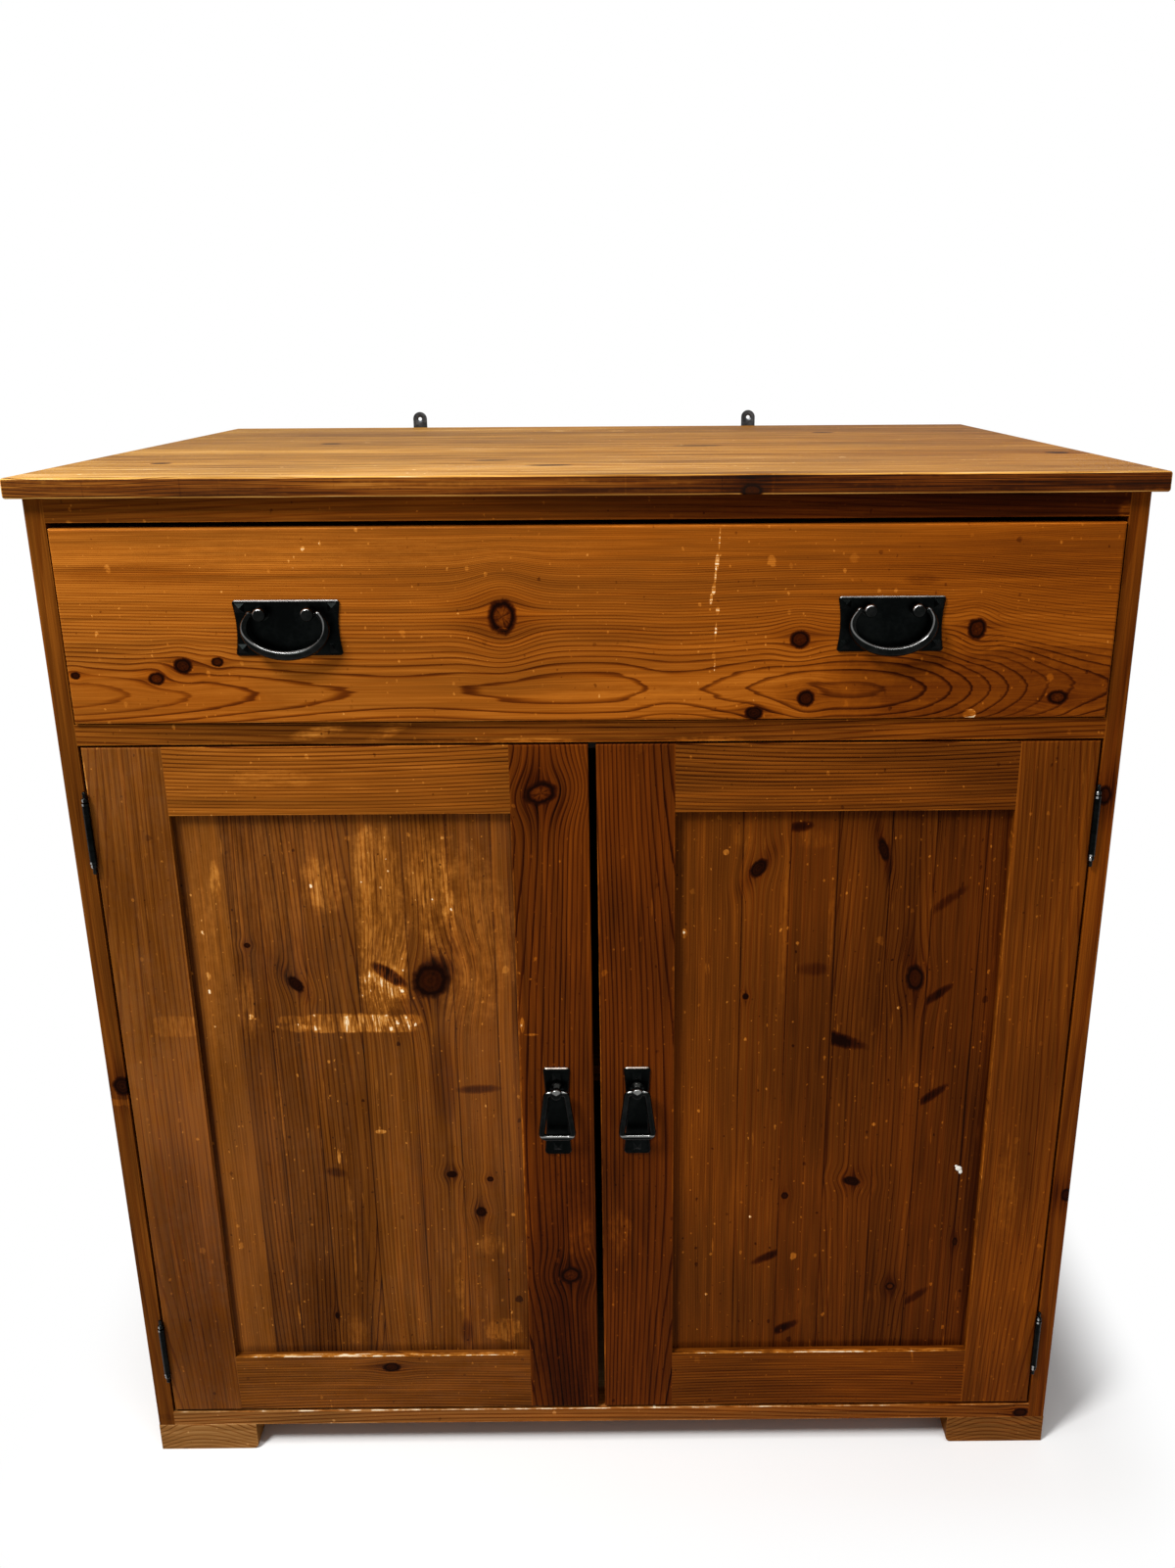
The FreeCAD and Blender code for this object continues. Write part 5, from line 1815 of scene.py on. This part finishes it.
    def panel(
        self,
        tone: float,
        red: float,
        lines: float,
        staves: tuple[Two, ...],
        knots: tuple[Knot, ...],
        marks: tuple[Patch, ...],
    ) -> Board:
        """Returns the door's panel.

        Args:
            tone: its place on the finish's colours.
            red: its share of the red cast.
            lines: how dark its growth rings are.
            staves: its glued strips.
            knots: its knots.
            marks: its worn and dark places.

        Returns:
            The panel.
        """
        return Board(
            self.name("door_panel"),
            Face.FRONT,
            Run.UP,
            tone,
            red=red,
            pitch=0.0045,
            lines=lines,
            blotch=0.10,
            specks=0.40,
            scuffs=0.26,
            haze=self.dust_and_sheen,
            staves=staves,
            uneven=1.0,
            recess=self.recess,
            knots=knots,
            patches=marks,
        )

    def stile(
        self, which: Stile, tone: float, knots: tuple[Knot, ...] = (), marks: tuple[Patch, ...] = ()
    ) -> Board:
        """Returns an upright of the frame.

        Args:
            which: the one that is hinged or the one with the handle.
            tone: its place on the finish's colours.
            knots: its knots.
            marks: its worn and dark places.

        Returns:
            The stile.
        """
        node = self.name(f"door_{which.name.lower()}_stile")
        low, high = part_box(node)
        hinged = which is Stile.HINGE
        return Board(
            node,
            Face.FRONT,
            Run.UP,
            tone,
            red=self.red if hinged else self.lock_red,
            heart=0.5 * (low[0] + high[0]) + self.heart_aside * self.hand.value,
            lines=which.value,
            scuffs=0.14,
            haze=self.dust_and_sheen * self.stile_dust if hinged else 0.0,
            knots=knots,
            patches=marks,
        )

    def rail(
        self, which: Rail, tone: float, knots: tuple[Knot, ...] = (), marks: tuple[Patch, ...] = ()
    ) -> Board:
        """Returns a crosspiece of the frame.

        Args:
            which: the upper or the lower one.
            tone: its place on the finish's colours.
            knots: its knots.
            marks: its worn and dark places.

        Returns:
            The rail.
        """
        heart, lines, edge = which.value
        return Board(
            self.name(f"door_{which.name.lower()}_rail"),
            Face.FRONT,
            Run.RIGHT,
            tone,
            red=self.red,
            pitch=0.0044,
            heart=heart,
            depths=((0.0, 0.05), (0.4, 0.042), (1.0, 0.052)),
            lines=lines,
            figure=1.2,
            haze=0.0 if which is Rail.TOP else self.dust_and_sheen,
            edge=edge,
            knots=knots,
            patches=marks,
        )

    def build(self) -> None:
        """Dresses every board of the door."""
        boards = self.left_boards() if self.hand is Hand.LEFT else self.right_boards()
        for board in boards:
            dress(board.node, PineRecipe(board).build())


@dataclass
class PaintSplash:
    """A splash of white paint that dried on the right panel.

    right and up are its place, and blobs the place in it and half sizes of each blob. thick_share is the
    share of a blob's half width that it stands out by.
    """

    right: float = 0.3819
    up: float = 0.3574
    blobs: tuple[Four, ...] = (
        (0.0, 0.0, 0.0034, 0.0030),
        (0.0022, -0.0038, 0.0020, 0.0028),
        (-0.0028, 0.0030, 0.0016, 0.0015),
    )
    thick_share: float = 0.35

    def build(self) -> None:
        """Builds the splash from flattened blobs cut off at the panel's face."""
        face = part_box("right_door_panel")[0][1]
        shape = bmesh.new()
        for right, up, wide, high in self.blobs:
            made = bmesh.ops.create_icosphere(shape, subdivisions=3, radius=1.0)["verts"]
            size = Matrix.Diagonal((wide, wide * self.thick_share, high, 1.0))
            place = Matrix.Translation((self.right + right, face, self.up + up))
            bmesh.ops.transform(shape, matrix=place @ size, verts=made)
        parts = shape.verts[:] + shape.edges[:] + shape.faces[:]
        bmesh.ops.bisect_plane(
            shape, geom=parts, plane_co=(0.0, face, 0.0), plane_no=(0.0, 1.0, 0.0), clear_outer=True
        )
        bmesh.ops.holes_fill(shape, edges=[edge for edge in shape.edges if edge.is_boundary])
        piece = new_piece("paint_splash", shape, IronRecipe(PAINT).build())
        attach(piece, "right_door")


@dataclass
class Ironwork:
    """The hinges, handles, lugs, catch and screws.

    pull_place and drop_place are how far the handles lie from the middle, and bail_rise how far a bail's
    pivots lie above its lowest point.
    """

    finishes: dict[IronFinish, tuple[str, ...]] = field(
        default_factory=lambda: {
            BLACK_IRON: (
                "hinge_frame_leaves",
                "left_hinge_door_leaves",
                "right_hinge_door_leaves",
                "left_bail_plate",
                "right_bail_plate",
                "left_drop_plate",
                "right_drop_plate",
                "drawer_fasteners",
                "left_door_fasteners",
                "right_door_fasteners",
            ),
            WORN_IRON: (
                "hinge_pins",
                "left_bail",
                "right_bail",
                "left_bail_posts",
                "right_bail_posts",
                "left_drop",
                "right_drop",
                "left_drop_post",
                "right_drop_post",
            ),
            LUG_IRON: ("left_wall_lug", "right_wall_lug"),
            STEEL: ("carcass_screws",),
            DULL_STEEL: ("left_catch_strike", "right_catch_strike"),
            CATCH: ("door_catch",),
        }
    )
    pull_place: float = 0.274
    drop_place: float = 0.04125
    bail_rise: float = 0.02893
    # Colours and shapes of the highlights painted into the plates, handles, posts and hinge pins.
    bail_plate_shine: Colour = (0.26, 0.25, 0.24)
    drop_plate_shine: Colour = (0.50, 0.42, 0.36)
    drop_shine: Colour = (0.26, 0.26, 0.25)
    whole_band: Four = (-0.001, 0.0, 0.012, 0.016)
    post_line: TwinLine = TwinLine(
        bright=(0.50, 0.50, 0.49), glint=(-0.5, 0.0, 0.866), sharp=(0.45, 0.85), aside=0.0215
    )
    drop_post_line: TwinLine = TwinLine(
        bright=(0.24, 0.24, 0.23), glint=(0.0, 0.0, 1.0), sharp=(0.40, 0.75), band=whole_band
    )
    pin_line: TwinLine = TwinLine(
        bright=(0.40, 0.40, 0.39),
        glint=(-0.45, -0.89, 0.0),
        aside=0.48075,
        upright=True,
        band=whole_band,
        rim=(0.0022, 0.0031),
    )

    def painted_highlight(self, node: str) -> Optional[PaintedHighlight]:
        """Finds the highlight painted on a node.

        Args:
            node: the node's name.

        Returns:
            The painted highlight, or None where the node has none.
        """
        low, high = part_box(node)
        middle = tuple(0.5 * (start + end) for start, end in zip(low, high))
        side, _, piece = node.partition("_")
        aside = self.pull_place if "bail" in piece else self.drop_place
        right = -aside if side == "left" else aside
        if piece == "bail":
            return BailLine((right, middle[1], low[2] + self.bail_rise))
        if piece in ("bail_plate", "drop_plate"):
            bright = self.bail_plate_shine if piece == "bail_plate" else self.drop_plate_shine
            return EdgeLine((right, low[1], high[2]), bright)
        if piece == "drop":
            return DropLine(middle, self.drop_shine)
        turned = {"bail_posts": self.post_line, "drop_post": self.drop_post_line, "pins": self.pin_line}
        return replace(turned[piece], middle=middle, front=low[1]) if piece in turned else None

    def build(self) -> None:
        """Dresses every metal node, and paints highlights into the plates, handles and hinge pins."""
        for finish, nodes in self.finishes.items():
            plain = IronRecipe(finish).build()
            for node in nodes:
                painted_highlight = self.painted_highlight(node)
                dress(node, plain if painted_highlight is None else IronRecipe(finish, node, painted_highlight).build())


@dataclass
class Studio:
    """The camera, the lamps, the white surroundings and the floor.

    eye, turn, lens, sensor and shift are the camera's. Both lamps aim at key_aim. ambient is the strength of
    the soft light all round. The floor turns white from floor_start to floor_end away from the object.
    """

    eye: Three = (0.0293, -1.54405, 1.1839)
    turn: Three = (71.5468, 0.3169, -0.3965)
    lens: float = 30.21
    sensor: float = 36.0
    shift: Two = (-0.02686, 0.00237)
    key_place: Three = (-1.45, -1.75, 3.00)
    key_aim: Three = (0.0, -0.36, 0.62)
    key_size: Two = (0.75, 0.75)
    key_watts: float = 96.0
    over_place: Three = (-0.15, -1.10, 3.00)
    over_size: Two = (3.2, 0.12)
    over_watts: float = 30.0
    ambient: float = 0.27
    floor_size: float = 12.0
    floor_colour: Colour = (0.93, 0.93, 0.925)
    floor_level: float = -0.0006
    floor_start: float = 0.03
    floor_end: float = 0.16

    def camera(self) -> None:
        """Sets up the camera where the photograph was taken."""
        data = bpy.data.cameras.new("view")
        data.sensor_fit = "AUTO"
        data.sensor_width = self.sensor
        data.lens = self.lens
        data.shift_x, data.shift_y = self.shift
        view = bpy.data.objects.new("view", data)
        view.location = self.eye
        view.rotation_euler = [math.radians(angle) for angle in self.turn]
        bpy.context.scene.collection.objects.link(view)
        bpy.context.scene.camera = view

    def lamp(self, name: str, place: Three, size: Two, watts: float) -> None:
        """Hangs one lamp and aims it at the cupboard's front.

        Args:
            name: the lamp's name.
            place: where it hangs.
            size: its width and height.
            watts: its power.
        """
        data = bpy.data.lights.new(name, "AREA")
        data.shape = "ELLIPSE"
        data.size, data.size_y = size
        data.energy = watts
        lamp = bpy.data.objects.new(name, data)
        lamp.location = place
        aim = Vector(self.key_aim) - Vector(place)
        lamp.rotation_euler = aim.to_track_quat("-Z", "Y").to_euler()
        bpy.context.scene.collection.objects.link(lamp)

    @staticmethod
    def seen(recipe: Recipe) -> Shade:
        """Picks out the rays that show the background: from the camera, a gloss or a glass.

        Args:
            recipe: the tree that is written.

        Returns:
            1 for those rays and 0 for the rest.
        """
        rays = recipe.node("LightPath", out="Is Camera Ray")
        either = recipe.math("MAXIMUM", rays, rays.twin("Is Glossy Ray"))
        return recipe.math("MAXIMUM", either, rays.twin("Is Transmission Ray"))

    def surroundings(self) -> None:
        """Makes the world white where it is seen, and a plain soft light elsewhere."""
        world = bpy.data.worlds.new("studio")
        bpy.context.scene.world = world
        recipe = Recipe(world)
        white = recipe.node("Background", sockets={"Strength": 1.0, "Color": WHITE})
        soft = recipe.node("Background", sockets={"Strength": self.ambient, "Color": WHITE})
        mixed = recipe.node("MixShader", sockets={0: self.seen(recipe), 1: soft, 2: white})
        recipe.finish(mixed, "OutputWorld")

    def floor(self) -> None:
        """Lays the pale floor, which fades to white away from the object and keeps its shadow."""
        material = bpy.data.materials.new("pale_floor")
        recipe = Recipe(material)
        place = recipe.node("TexCoord", out="Object")
        low, high = CAD_BOX
        half = tuple(0.5 * (end - start) for start, end in zip(low[:2], high[:2]))
        beyond = recipe.vector("SUBTRACT", recipe.vector("ABSOLUTE", place), (*half, 0.0))
        away = recipe.vector("LENGTH", recipe.vector("MAXIMUM", beyond, (0.0, 0.0, 0.0)), out="Value")
        fade = recipe.step(away, self.floor_start, self.floor_end) * self.seen(recipe)
        matt = recipe.node("BsdfDiffuse", sockets={"Color": (*self.floor_colour, 1.0)})
        white = recipe.node("Emission", sockets={"Color": WHITE, "Strength": 1.0})
        recipe.finish(recipe.node("MixShader", sockets={0: fade, 1: matt, 2: white}))
        shape = bmesh.new()
        bmesh.ops.create_grid(shape, x_segments=1, y_segments=1, size=self.floor_size * 0.5)
        bmesh.ops.translate(shape, verts=shape.verts, vec=(0.0, 0.0, self.floor_level))
        new_piece("floor", shape, material)

    def build(self) -> None:
        """Builds the studio and sets the plain view transform."""
        bpy.context.scene.view_settings.view_transform = "Standard"
        self.camera()
        self.lamp("key", self.key_place, self.key_size, self.key_watts)
        self.lamp("over", self.over_place, self.over_size, self.over_watts)
        self.surroundings()
        self.floor()


def main() -> None:
    """Builds the studio and each sub-assembly in order."""
    logging.basicConfig(level=logging.INFO, format="%(message)s")
    Studio().build()
    for part in (Case(), Drawer(), Door(Hand.LEFT, dust_and_sheen=0.06), Door(Hand.RIGHT), PaintSplash(), Ironwork()):
        part.build()
        LOG.info("finished %s", type(part).__name__)


if __name__ == "__main__":
    main()
